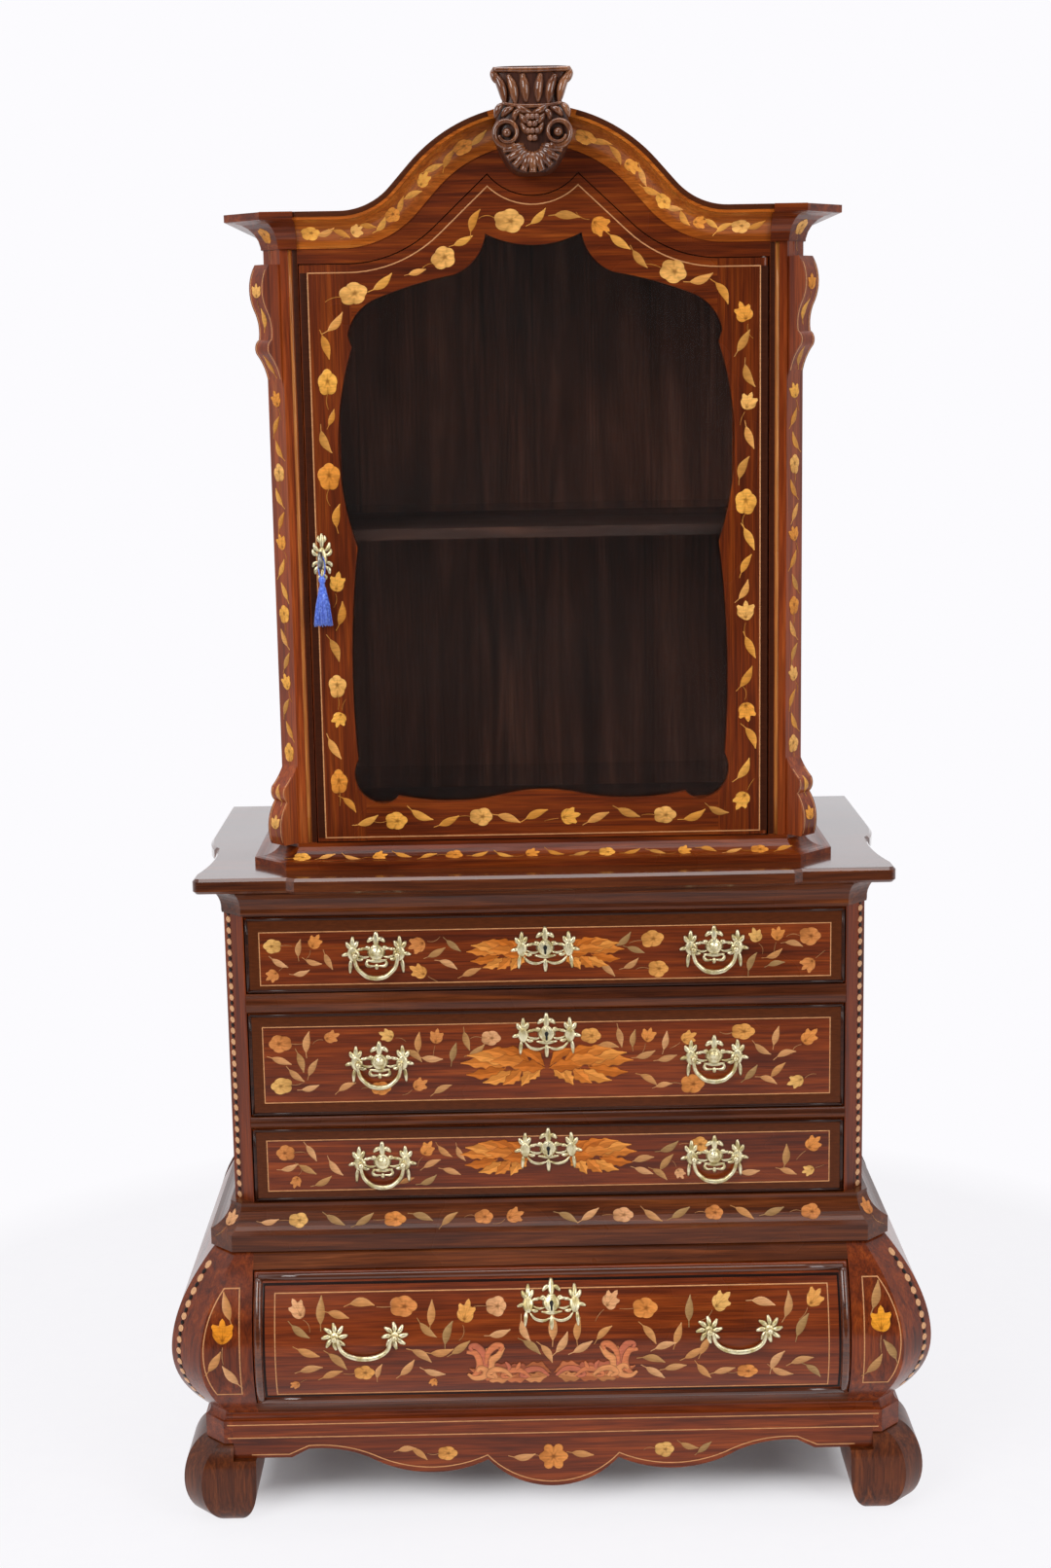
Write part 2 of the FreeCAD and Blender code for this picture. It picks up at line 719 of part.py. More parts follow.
cabinet_plan = (v.cabinet_half, v.cabinet_setback, v.cabinet_cant)
base_levels = [(v.top_upper, v.base_out), (v.top_upper + v.base_board, v.base_out)]
base_levels += cove((v.top_upper + v.base_board + 1, v.base_out - v.base_top_out),
                    (v.cabinet_floor_top - v.base_top_out, v.base_top_out), -v.base_top_out, COVE_STEPS)
base_levels += [(v.cabinet_floor_top, v.base_top_out)]
base_runs = mitred_runs(base_levels, cabinet_plan, cabinet_plan, v.chest_depth)
group("cabinet_plinth", [feature(f"cabinet_plinth_{i}", run) for i, run in enumerate(base_runs)])

inner_half = v.cabinet_half - v.cabinet_side
opening = v.door_opening_half
floor_plan = [(opening, v.cabinet_setback), (opening, v.post_back), (inner_half, v.post_back),
              (inner_half, v.chest_depth)]
floor_plan += [(-x, depth) for x, depth in reversed(floor_plan)]
cabinet_floor = padded("cabinet_floor_board", "XY_Plane", polygon(floor_plan), "cabinet_base", z="top_upper")

cabinet_post = polygon([(opening, v.cabinet_setback), (v.cabinet_half - v.cabinet_cant, v.cabinet_setback),
                        (v.cabinet_half, v.cabinet_setback + v.cabinet_cant), (v.cabinet_half, v.post_back),
                        (opening, v.post_back)])
cabinet_post_right = padded("cabinet_post_right", "XY_Plane", cabinet_post, "cornice_low - top_upper",
                            z="top_upper")
cabinet_post_left = mirrored("cabinet_post_left", cabinet_post_right)
group("cabinet_sides", board_pair("cabinet_side", ("cabinet_half - cabinet_side", "cabinet_half"),
                                  ("post_back", "chest_depth"), ("top_upper", "cornice_low")))

slope = math.radians(v.arch_slope)


def arch(lift, end):
    """Right half of the cornice line, lifted square to itself: flat, hollow, straight, then the crown."""
    hollow = v.arch_cove_radius - lift
    low = v.cornice_low
    hollow_centre = (v.arch_flat_half, low + v.arch_cove_radius)

    def on_hollow(angle, radius):
        return (hollow_centre[0] - radius * math.sin(angle), hollow_centre[1] - radius * math.cos(angle))

    run = (v.arch_straight * math.cos(slope), v.arch_straight * math.sin(slope))
    foot_of_crown = on_hollow(slope, v.arch_cove_radius)
    foot_of_crown = (foot_of_crown[0] - run[0], foot_of_crown[1] + run[1])
    crown = foot_of_crown[0] / math.sin(slope)
    centre = foot_of_crown[1] - crown * math.cos(slope)
    leave = on_hollow(slope, hollow)
    join = (leave[0] - run[0], leave[1] + run[1])
    middle = ((crown + lift) * math.sin(slope / 2), centre + (crown + lift) * math.cos(slope / 2))
    return [((end, low + lift), (v.arch_flat_half, low + lift)),
            ((v.arch_flat_half, low + lift), on_hollow(slope / 2, hollow), leave),
            (leave, join),
            (join, middle, (0, centre + crown + lift))]


def door_top(gap):
    """Right half of the door's top line, lifted by a gap: shoulder, hollow, then straight to the peak."""
    lean = math.radians(v.door_slope)
    radius = v.door_cove_radius - gap
    low = v.door_shoulder + gap
    peak = (v.door_peak_half, v.door_shoulder + v.door_peak_rise + gap / math.cos(lean))
    meet = peak[0] + (peak[1] - low) / math.tan(lean)
    tangent = radius * math.tan(lean / 2)
    start = meet + tangent
    end = (meet - tangent * math.cos(lean), low + tangent * math.sin(lean))
    middle = (start - radius * math.sin(lean / 2), low + radius * (1 - math.cos(lean / 2)))
    side = v.door_half if gap == 0 else opening
    return [((side, low), (start, low)), ((start, low), middle, end), (end, peak)]


def lunette(gap):
    """The drooping arc between the two peaks of the door's top line."""
    peak = door_top(gap)[-1][-1]
    return [(peak, (0, v.door_shoulder + v.door_peak_rise - v.lunette_dip + gap), (-peak[0], peak[1]))]


def across(right):
    """A right-hand run of segments and its mirror image."""
    return right + mirror_segments(right)


floor_line = v.cabinet_floor_top
back_right = [((0, floor_line), (inner_half, floor_line)),
              ((inner_half, floor_line), (inner_half, v.cornice_low))]
node(padded("cabinet_back", "XZ_Plane", across(back_right + arch(0, inner_half)), "back_thick",
            y="chest_back_plane - back_thick"), "cabinet_back")
roof_right = arch(0, v.cabinet_half) + arch(v.roof_thick, v.cabinet_half)
roof_right += [((v.cabinet_half, v.cornice_low), (v.cabinet_half, v.cornice_low + v.roof_thick))]
node(padded("roof", "XZ_Plane", across(roof_right), "chest_depth - cabinet_setback - frieze_thick",
            y="cabinet_plane + frieze_thick"), "roof")

shelf_x = "cabinet_half - cabinet_side"
node(board("shelf", (f"-({shelf_x})", shelf_x),
           ("cabinet_setback + shelf_setback", "chest_depth - back_thick"),
           ("shelf_under", "shelf_under + shelf_thick")), "shelf")
group("shelf_bearers", board_pair("shelf_bearer", (f"{shelf_x} - bearer", shelf_x),
                                  ("cabinet_setback + shelf_setback + bearer", "chest_depth - back_thick"),
                                  ("shelf_under - bearer", "shelf_under")))

# Hinge pins, which stand in the floor and the frieze and carry the door

pivot_x = v.door_half - v.pivot_inset
pivot_depth = v.cabinet_setback + v.pivot_inset
pin_ends = [(floor_line - v.pivot_depth, floor_line + v.pivot_depth),
            (v.frieze_low - v.pivot_depth, v.frieze_low + v.pivot_depth)]


def pivot_rod(radius, low, high):
    """A round bar on the door's axis."""
    return rod(radius, (pivot_x, pivot_depth, low), (pivot_x, pivot_depth, high))


group("hinge_pins", [feature(f"hinge_pin_{i}", pivot_rod(v.pivot_radius, low, high))
                     for i, (low, high) in enumerate(pin_ends)])
pin_bores = feature("pin_bores", Part.makeCompound(
    [pivot_rod(v.pivot_radius + v.pin_clearance, low - 1, high + 1) for low, high in pin_ends]))


def cut(name, base, tool):
    """One piece with another taken out of it."""
    item = doc.addObject("Part::Cut", name)
    item.Base = base
    item.Tool = tool
    return item


node(cut("cabinet_floor", cabinet_floor, pin_bores), "cabinet_floor")
frieze_right = door_top(v.door_gap) + arch(0, opening)
frieze_right += [((opening, v.frieze_low), (opening, v.cornice_low))]
frieze = padded("frieze_board", "XZ_Plane", across(frieze_right) + lunette(v.door_gap), "frieze_thick",
                y="cabinet_plane")
node(cut("frieze", frieze, pin_bores), "frieze")

# Cornice: the arched front is one moulding carried along the cornice line, the returns are mitred

moulding_top = v.cornice_height - v.cornice_fillet
cove_ends = ((v.cornice_foot, v.cornice_foot), (moulding_top, v.cornice_out - v.cornice_foot))
hollow = cove(*cove_ends, -v.cornice_fillet, COVE_STEPS)
frieze_back = v.cabinet_setback + v.frieze_thick


def cornice_section(x, low):
    """The cornice section as a wire across the front, at a distance from the middle and a height."""
    levels = [(0, v.cornice_foot), cove_ends[0], cove_ends[1], (moulding_top, v.cornice_out),
              (v.cornice_height, v.cornice_out), (v.cornice_height, -v.frieze_thick), (0, -v.frieze_thick)]
    corners = [Vector(x, v.cabinet_setback - out, low + height) for height, out in levels]
    edges = [Part.LineSegment(a, b).toShape() for a, b in zip(corners, corners[1:] + corners[:1])]
    height, out = hollow[COVE_STEPS // 2]
    middle = Vector(x, v.cabinet_setback - out, low + height)
    edges[1] = Part.Arc(corners[1], middle, corners[2]).toShape()
    return Part.Wire(edges)


spine = Part.Wire(drawn(across(arch(0, opening)), Vector(0, v.cabinet_setback, 0)))
arch_moulding = spine.makePipeShell([cornice_section(opening, v.cornice_low)], True, False)
node(feature("cornice_arch", arch_moulding), "cornice_arch")

return_levels = [(0, v.cornice_foot)] + hollow + [(moulding_top + 1, v.cornice_out),
                                                  (v.cornice_height, v.cornice_out)]
cant_back = v.cabinet_setback + v.cabinet_cant
corner_sections = []
side_sections = []
for height, out in return_levels:
    z = v.cornice_low + height
    wide, front = v.cabinet_half + out, v.cabinet_setback - out
    cant = v.cabinet_cant + MITRE * out
    corner_sections.append([(opening, front - v.cornice_break, z), (wide - cant, front - v.cornice_break, z),
                            (wide - cant, front, z), (wide, front + cant, z),
                            (v.cabinet_half, cant_back, z), (v.cabinet_half, frieze_back, z),
                            (opening, frieze_back, z)])
    side_sections.append([(wide, front + cant, z), (wide, v.chest_depth, z),
                          (v.cabinet_half, v.chest_depth, z), (v.cabinet_half, cant_back, z)])
returns = [feature("cornice_corner_right", loft(corner_sections, True)),
           feature("cornice_side_right", loft(side_sections, True))]
returns += [mirrored(item.Name.replace("right", "left"), item) for item in returns]
group("cornice_returns", returns)

crown_start, _, crown_point = arch(0, opening)[-1]
crown_top = crown_point[1] + v.cornice_height
crown_radius = crown_start[0] / math.sin(slope)
crest_low = crown_top + v.crest_over - v.crest_height


def crest_at(x, z):
    """A point of the crest, in shares of its half width and height."""
    return (v.crest_half * x, crest_low + v.crest_height * z)


crest_right = [
    (crest_at(0, 0), crest_at(0.55, 0.05), crest_at(0.9, 0.26)),
    (crest_at(0.9, 0.26), crest_at(1, 0.42), crest_at(0.86, 0.58)),
    (crest_at(0.86, 0.58), crest_at(0.7, 0.7), crest_at(0.8, 0.82)),
    (crest_at(0.8, 0.82), crest_at(0.95, 0.88), crest_at(1, 0.97)),
    (crest_at(1, 0.97), crest_at(0.9, 1)),
    (crest_at(0.9, 1), crest_at(0, 1)),
]
crest_front = v.cabinet_setback - v.cornice_out - v.crest_out
crest = slab(across(crest_right), crest_front, v.cabinet_setback)
behind = solid_box((-v.cabinet_half, v.cabinet_half), (v.cabinet_setback - v.crest_out, v.chest_depth),
                   (crown_top, crown_top + v.crest_height))
crown_axis = Vector(0, 0, crown_point[1] - crown_radius)
crown = Part.Face(cornice_section(0, crown_point[1]))
crown.rotate(crown_axis, Vector(0, 1, 0), -v.arch_slope)
crown = crown.revolve(crown_axis, Vector(0, 1, 0), 2 * v.arch_slope)
crown.translate(Vector(0, -v.crest_seat, 0))
node(feature("crest", crest.cut(behind).cut(crown)), "crest")

def moved(segments, x, z):
    """An outline shifted in its plane."""
    return [tuple((a + x, b + z) for a, b in points) for points in segments]


def scaled(segments, width, height):
    """An outline given in shares, at its full size."""
    return [tuple((a * width, b * height) for a, b in points) for points in segments]


# Carved corbels on the canted corners of the cabinet

facet = v.cabinet_half - v.cabinet_cant / 2
facet_depth = v.cabinet_setback + v.cabinet_cant / 2


def corbel(name, base, outline, out, height):
    """A corbel with a scrolled side outline, given in shares of its projection and height."""
    outward = Vector(1, -1, 0).normalize()
    width = Vector(1, 1, 0).normalize() * v.corbel_width
    corner = Vector(facet, facet_depth, base) - width / 2
    return feature(name, extruded(scaled(outline, out, height), corner, outward, width))


UPPER_CORBEL = [((0, 0), (0.2, 0.15), (0.68, 0.28)), ((0.68, 0.28), (0.76, 0.34), (0.52, 0.4)),
                ((0.52, 0.4), (0.5, 0.5), (0.78, 0.64)), ((0.78, 0.64), (1, 0.8), (0.62, 1)),
                ((0.62, 1), (0, 1)), ((0, 1), (0, 0))]
LOWER_CORBEL = [((0, 0), (0.86, 0)), ((0.86, 0), (1, 0.18), (0.58, 0.55)),
                ((0.58, 0.55), (0.76, 0.64), (0.7, 0.74)), ((0.7, 0.74), (0.3, 0.86), (0, 1)),
                ((0, 1), (0, 0))]
corbels = [corbel("upper_corbel_right", v.frieze_low - v.upper_corbel_height,
                  UPPER_CORBEL, v.upper_corbel_out, v.upper_corbel_height),
           corbel("lower_corbel_right", v.cabinet_floor_top,
                  LOWER_CORBEL, v.lower_corbel_out, v.lower_corbel_height)]
corbels += [mirrored(item.Name.replace("right", "left"), item) for item in corbels]
group("corbels", corbels)

# Door: one framed outline, parted into two stiles and two rails

lobe = v.sight_lobe
nose = v.door_half - v.stile_nose
belly = v.door_half - v.stile_belly
peak = v.door_peak_half
door_low = v.door_bottom
door_high = v.door_shoulder
rail_line = door_low + v.bottom_rail
cusp = (peak + lobe / 4, door_high + v.sight_cusp_rise)
foot_nose = (nose + lobe / 2, rail_line + 3 * lobe)
mid_nose = (nose, (door_low + door_high) / 2 + lobe)
top_nose = (nose, door_high - 7 * lobe)
low_belly = (belly - lobe / 2, (foot_nose[1] * 3 + mid_nose[1]) / 4)
high_belly = (belly, (mid_nose[1] + top_nose[1] * 2) / 3)
sill = [(peak, rail_line - lobe / 2), ((peak + nose) / 2 - lobe, rail_line - lobe * 0.9),
        (nose - 3 * lobe, rail_line - lobe / 3), (nose - 2 * lobe, rail_line - lobe),
        (nose - lobe, rail_line - lobe * 0.9), (nose + lobe / 2, rail_line + lobe / 3), foot_nose]
head = [(nose + lobe / 3, door_high - 6 * lobe), (nose - lobe / 3, door_high - 4.4 * lobe),
        (nose - 2 * lobe, door_high - 3 * lobe), ((nose + peak + lobe) / 2, door_high - 1.8 * lobe),
        (peak + 3 * lobe, door_high - lobe), (peak + lobe, door_high + lobe / 2), cusp]


def arcs(points):
    """A run of arcs, each through the next three points."""
    return [tuple(points[i:i + 3]) for i in range(0, len(points) - 2, 2)]


sight_right = arcs(sill) + [(foot_nose, low_belly, mid_nose), (mid_nose, high_belly, top_nose),
                            (top_nose, head[0])] + arcs(head)
sight = across(sight_right) + [
    (sill[0], (0, rail_line), (-sill[0][0], sill[0][1])),
    (cusp, (0, cusp[1] - lobe), (-cusp[0], cusp[1])),
]


def rebate_outline(inset):
    """The straight-sided seat of the glass, drawn in by an inset."""
    right = [(belly + v.rebate - inset, rail_line - lobe - v.rebate + inset),
             (belly + v.rebate - inset, door_high - 2.5 * lobe - inset),
             (peak + 3 * lobe - inset, door_high + lobe / 4 - inset),
             (peak + lobe - inset, cusp[1] + 1.5 * v.rebate - inset)]
    return polygon(right + [(-x, z) for x, z in reversed(right)])


door_right = [((0, door_low), (v.door_half, door_low)), ((v.door_half, door_low), (v.door_half, door_high))]
door_edge = across(door_right + door_top(0)) + lunette(0)
door_frame = padded("door_frame", "XZ_Plane", door_edge, "door_thick", y="cabinet_plane")
pocket(door_frame, sight, "door_sight", "door_thick")
pocket(door_frame, rebate_outline(0), "door_rebate", "door_thick - glass_setback", "glass_setback")


def common(name, base, x, z):
    """The share of a piece that lies inside a block, for the whole thickness of the door."""
    block = board(name + "_block", x, ("cabinet_setback - door_gap", "door_back + door_gap"), z)
    item = doc.addObject("Part::Common", name)
    item.Base = base
    item.Tool = block
    return item


parting = "(door_half - stile_nose - door_gap)"
whole = ("door_bottom - door_gap", "cornice_top")
middle = "(door_bottom + door_shoulder) / 2"
lock_side = common("lock_stile_blank", door_frame, ("-door_half - door_gap", f"-{parting}"), whole)
hinge_side = common("hinge_stile_blank", door_frame, (parting, "door_half + door_gap"), whole)
for name, z in (("door_bottom_rail", ("door_bottom - door_gap", middle)),
                ("door_top_rail", (middle, "cornice_top + door_peak_rise"))):
    node(common(name, door_frame, (f"-{parting}", parting), z), name)

key_x = v.key_inset - v.door_half
door_front = v.cabinet_setback
key_bore = feature("key_bore", rod(v.key_radius + v.pin_clearance, (key_x, door_front - lobe, v.key_z),
                                   (key_x, v.door_back + lobe, v.key_z)))
node(cut("door_lock_stile", lock_side, key_bore), "door_lock_stile")
knuckle = rod(v.pivot_inset, (pivot_x, pivot_depth, door_low - lobe), (pivot_x, pivot_depth, v.cornice_top))
round_off = solid_box((pivot_x, v.door_half + lobe), (door_front - lobe, pivot_depth),
                      (door_low - lobe, v.cornice_top)).cut(knuckle)
rounded = cut("hinge_stile_rounded", hinge_side, feature("knuckle_waste", round_off))
node(cut("door_hinge_stile", rounded, pin_bores), "door_hinge_stile")

node(padded("door_glass", "XZ_Plane", rebate_outline(1), "glass_thick", y="cabinet_plane + glass_setback"),
     "door_glass")
node(padded("glazing_beads", "XZ_Plane", rebate_outline(0) + rebate_outline(v.rebate), "bead_thick",
            y="cabinet_plane + glass_setback + glass_thick"), "glazing_beads")

# Door lock: escutcheon, case, bolt, key and the tassel on the key


KEY_PLATE = across([((0, 1), (0.9, 0.55), (0.65, 0)), ((0.65, 0), (0.9, -0.5), (0, -1))])
key_plate = moved(scaled(KEY_PLATE, v.key_plate_half, v.key_plate_height / 2), key_x, v.key_z)
loose_bore = rod(v.key_radius + v.running_gap + v.pin_clearance, (key_x, door_front - lobe, v.key_z),
                 (key_x, v.door_back + lobe, v.key_z))
escutcheon = slab(key_plate, door_front - v.plate_thick, door_front).cut(loose_bore)
node(feature("door_escutcheon", escutcheon), "door_escutcheon")

wall = v.lock_wall
case_back = v.door_back + v.lock_case_thick
case_x = (v.door_gap - v.door_half, v.door_gap - v.door_half + v.lock_case_width)
case_z = (v.key_z - v.lock_case_height * 2 / 5, v.key_z + v.lock_case_height * 3 / 5)
bolt_x = (case_x[0] + v.running_gap, case_x[0] + v.lock_case_width * 3 / 4)
bolt_y = (v.door_back + 1.5 * wall, case_back - 1.5 * wall)
bolt_z = (v.key_z + v.bolt_rise, v.key_z + v.bolt_rise + v.bolt_height)


def eased(span, gap):
    """A span grown by a gap at both ends."""
    return (span[0] - gap, span[1] + gap)


case = solid_box(case_x, (v.door_back, case_back), case_z)
hollow_y = (v.door_back - wall, case_back - wall)
case = case.cut(solid_box(eased(case_x, -wall), hollow_y, eased(case_z, -wall)))
bridge_x = (bolt_x[1] - 3 * wall, bolt_x[1] - 2 * wall)
bridge = solid_box(bridge_x, (v.door_back, case_back - wall), (bolt_z[0] - wall, case_z[1] - wall))
bolt_way = solid_box(eased(bolt_x, 2 * wall), eased(bolt_y, v.running_gap), eased(bolt_z, v.running_gap))
node(feature("lock_case", case.fuse(bridge).cut(bolt_way)), "lock_case")
node(feature("lock_bolt", solid_box(bolt_x, bolt_y, bolt_z)), "lock_bolt")
mortise_x = (-opening - v.bolt_throw - wall, wall - opening)
mortise = solid_box(mortise_x, eased(bolt_y, v.lock_clear), eased(bolt_z, v.lock_clear))
lock_post = cut("lock_post_left", cabinet_post_left, feature("bolt_mortise", mortise))
group("cabinet_posts", [cabinet_post_right, lock_post])

bow_centre = door_front - v.key_reach - v.key_bow
shank = rod(v.key_radius, (key_x, door_front - v.key_reach, v.key_z),
            (key_x, case_back - wall - v.running_gap, v.key_z))
bow = Part.makeTorus(v.key_bow, v.key_radius, Vector(key_x, bow_centre, v.key_z), Vector(1, 0, 0))
bit = solid_box((key_x - wall, key_x + wall), bolt_y, (v.key_z - v.key_bit, v.key_z))
node(feature("key", shank.fuse([bow, bit])), "key")

TASSEL = [(0, 0), (0.45, 0.01), (0.6, 0.08), (0.45, 0.17), (0.62, 0.22), (0.85, 0.45), (1, 1), (0, 1)]
tassel_depth = door_front - v.tassel_stand
loop_ring = v.key_radius + 2 * v.cord_radius + v.running_gap
loop_z = v.key_z - v.cord_radius / 2
loop_shape = Part.makeTorus(loop_ring, v.cord_radius, Vector(key_x, tassel_depth, loop_z), Vector(0, 1, 0))
hang = rod(v.cord_radius, (key_x, tassel_depth, loop_z - loop_ring),
           (key_x, tassel_depth, v.key_z - v.tassel_drop - v.cord_radius))
tassel_top = Vector(key_x, tassel_depth, v.key_z - v.tassel_drop)
skirt = Part.Face(Part.makePolygon([tassel_top + Vector(r * v.tassel_radius, 0, -drop * v.tassel_length)
                                    for r, drop in TASSEL + TASSEL[:1]]))
skirt = skirt.revolve(tassel_top, Vector(0, 0, 1), 360)
node(feature("tassel", loop_shape.fuse([hang, skirt])), "tassel")

# Drawers: front, lining, brasses and two bails each

HANDLE_PLATE = across([((0, 0.5), (0.25, 0.42), (0.42, 0.3)), ((0.42, 0.3), (0.75, 0.4), (1, 0.1)),
                       ((1, 0.1), (0.85, -0.1), (0.7, -0.32)), ((0.7, -0.32), (0.3, -0.3), (0, -0.5))])


def bail(half, side, centre):
    """A bail hung from the middle of its axis: pins, tight turns, arms and a wide bow, all tangent."""
    turn_r = v.bail_turn
    start = half - turn_r - 2 * v.post_radius
    corner = turn_r * (1 - math.sqrt(0.5))
    lean = math.radians(60)
    arm_end = (half - side * (1 - math.cos(lean)), -turn_r - side * math.sin(lean))
    arm_mid = (half - side * (1 - math.cos(lean / 2)), -turn_r - side * math.sin(lean / 2))
    bow_radius = 2 * arm_end[0]
    bottom = arm_end[1] - bow_radius * (1 - math.sin(lean))
    right = [((start, 0), (half - turn_r, 0)),
             ((half - turn_r, 0), (half - corner, -corner), (half, -turn_r)),
             ((half, -turn_r), arm_mid, arm_end)]
    path = right + [(arm_end, (0, bottom), (-arm_end[0], arm_end[1]))] + mirror_segments(right)
    wire = Part.Wire(drawn(path, centre))
    ring = Part.Wire(Part.makeCircle(v.bail_wire, centre + Vector(start, 0, 0), Vector(1, 0, 0)))
    return wire.makePipeShell([ring], True, False)


def handle_post(x, face, z, root):
    """A post with its cross hole, from a root behind the face to just past the bail's axis."""
    axis = face - v.bail_stand
    reach = 2 * v.post_radius
    hole = rod(v.bail_wire + v.pin_clearance, (x - reach, axis, z), (x + reach, axis, z))
    return rod(v.post_radius, (x, root, z), (x, axis - v.post_radius, z)).cut(hole)


def lock_box(face, z):
    """The lock behind a drawer front."""
    return solid_box((-v.lock_width / 2, v.lock_width / 2), (face, face + v.lock_thick),
                     (z - v.lock_height / 2, z + v.lock_height / 2))


def lining(name, level, start):
    """Two sides, a back and a bottom, behind a drawer front."""
    sides = board_pair(f"{name}_side", (lining_inner, lining_outer), (start, "lining_end"),
                       (f"{level}_floor + running_gap", f"{level}_roof - lining_headroom"))
    between = (f"-({lining_inner})", lining_inner)
    back_face = "lining_end - lining_side"
    back = board(f"{name}_back", between, (back_face, "lining_end"),
                 (f"{level}_floor + running_gap", f"{level}_roof - lining_headroom"))
    bottom = board(f"{name}_bottom", between, (start, back_face),
                   (f"{level}_floor + running_gap", f"{level}_floor + running_gap + lining_bottom"))
    group(f"{name}_lining", sides + [back, bottom])


def bails(name, half, side, spread, face, z):
    """The left and right bail of a drawer."""
    for hand, x in (("left", -spread), ("right", spread)):
        shape = bail(half, side, Vector(x, face - v.bail_stand, z))
        node(feature(f"{name}_bail_{hand}", shape), f"{name}_bail_{hand}")


def keyhole(z):
    """A round keyhole, long enough to pierce an escutcheon at any depth."""
    return rod(v.key_radius, (0, -v.chest_depth, z), (0, v.chest_depth, z))


front_half = v.opening_half - v.drawer_gap
post_spread = v.bail_half - v.bail_turn - v.post_radius
for number, level in enumerate(("upper", "middle", "third"), 1):
    name = f"drawer_{number}"
    low = getattr(v, f"{level}_floor") + v.drawer_gap
    high = getattr(v, f"{level}_roof") - v.drawer_gap
    front = padded(f"{name}_front", "XZ_Plane",
                   polygon([(-front_half, low), (front_half, low), (front_half, high), (-front_half, high)]),
                   "front_thick")
    bevelled(front, f"{name}_bevel", "front_ease")
    node(front, f"{name}_front")
    lining(name, level, "front_thick")
    handle_z = (low + high) / 2
    brasses = []
    for hand, x in (("left", -v.handle_spread), ("right", v.handle_spread)):
        plate = moved(scaled(HANDLE_PLATE, v.escutcheon_half, v.escutcheon_height), x, handle_z)
        posts = [handle_post(x + side * post_spread, 0, handle_z, 0) for side in (-1, 1)]
        brasses.append(feature(f"{name}_plate_{hand}", slab(plate, -v.plate_thick, 0).fuse(posts)))
    hole_z = getattr(v, f"{level}_roof") - getattr(v, f"{level}_escutcheon_drop")
    plate = moved(scaled(HANDLE_PLATE, v.escutcheon_half, v.escutcheon_height), 0, hole_z)
    brasses.append(feature(f"{name}_escutcheon", slab(plate, -v.plate_thick, 0).cut(keyhole(hole_z))))
    brasses.append(feature(f"{name}_lock", lock_box(v.front_thick, hole_z)))
    group(f"{name}_brasses", brasses)
    bails(name, v.bail_half, v.bail_side, v.handle_spread, 0, handle_z)

bombe_low = v.bombe_floor + v.drawer_gap
bombe_high = v.bombe_roof - v.drawer_gap
swelling = bombe_front(front_half, -v.bombe_front_back, bombe_low, bombe_high, v.bombe_proud)
face_edges = [edge for edge in swelling.Edges
              if all(vertex.Y < -v.bombe_front_back - v.bombe_proud for vertex in edge.Vertexes)]
swelling = swelling.makeFillet(v.bombe_ease, face_edges)
node(feature("drawer_4_front", swelling), "drawer_4_front")
lining("drawer_4", "bombe", "-bombe_front_back")
skin = bombe_front(front_half, -v.bombe_front_back, bombe_low, bombe_high, v.bombe_proud + v.plate_thick)
skin = skin.cut(swelling)
bombe_face = -v.handle_swell - v.bombe_proud
bombe_spread = v.bombe_bail_half - v.bail_turn - v.post_radius
handle_z = v.bombe_handle_z
brasses = []
for hand, middle_x in (("left", -v.bombe_handle_spread), ("right", v.bombe_handle_spread)):
    for side in (-1, 1):
        x = middle_x + side * bombe_spread
        disc = rod(v.rosette_radius, (x, -v.chest_depth, handle_z), (x, 0, handle_z)).common(skin)
        stem = handle_post(x, bombe_face, handle_z, bombe_face + lobe).cut(swelling)
        brasses.append(feature(f"drawer_4_rosette_{hand}_{side + 1}", disc.fuse(stem)))
hole_z = v.bombe_roof - v.bombe_escutcheon_drop
plate = moved(scaled(HANDLE_PLATE, v.escutcheon_half, v.escutcheon_height), 0, hole_z)
plate = slab(plate, -v.chest_depth, 0).common(skin)
brasses.append(feature("drawer_4_escutcheon", plate.cut(keyhole(hole_z))))
brasses.append(feature("drawer_4_lock", lock_box(-v.bombe_front_back, hole_z)))
group("drawer_4_brasses", brasses)
bails("drawer_4", v.bombe_bail_half, v.bombe_bail_side, v.bombe_handle_spread, bombe_face, handle_z)

# Every piece is checked before it is written

doc.recompute()
for item in doc.Objects:
    if "Invalid" in item.State or "Error" in item.State:
        raise RuntimeError(f"{item.Label}: {item.State}")
os.makedirs("parts", exist_ok=True)
for name, item in nodes.items():
    if item.Shape.isNull() or not item.Shape.isValid() or not item.Shape.Solids:
        raise RuntimeError(f"{name}: the shape is not sound")
    item.Shape.exportStep(f"parts/{name}.step")
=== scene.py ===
# %% [markdown]
# # A cabinet on a chest, inlaid with flowers
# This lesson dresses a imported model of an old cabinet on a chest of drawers. The carcase, the glazed
# door, the drawers and everything that moves come from the frame and stay as they are. What is added
# is what the eye enjoys on such a piece: polished mahogany, flowers and leaves let into it in paler
# woods, cast brass handles, a carved crest and a silk tassel on the key.

# %% Load the frame
import math

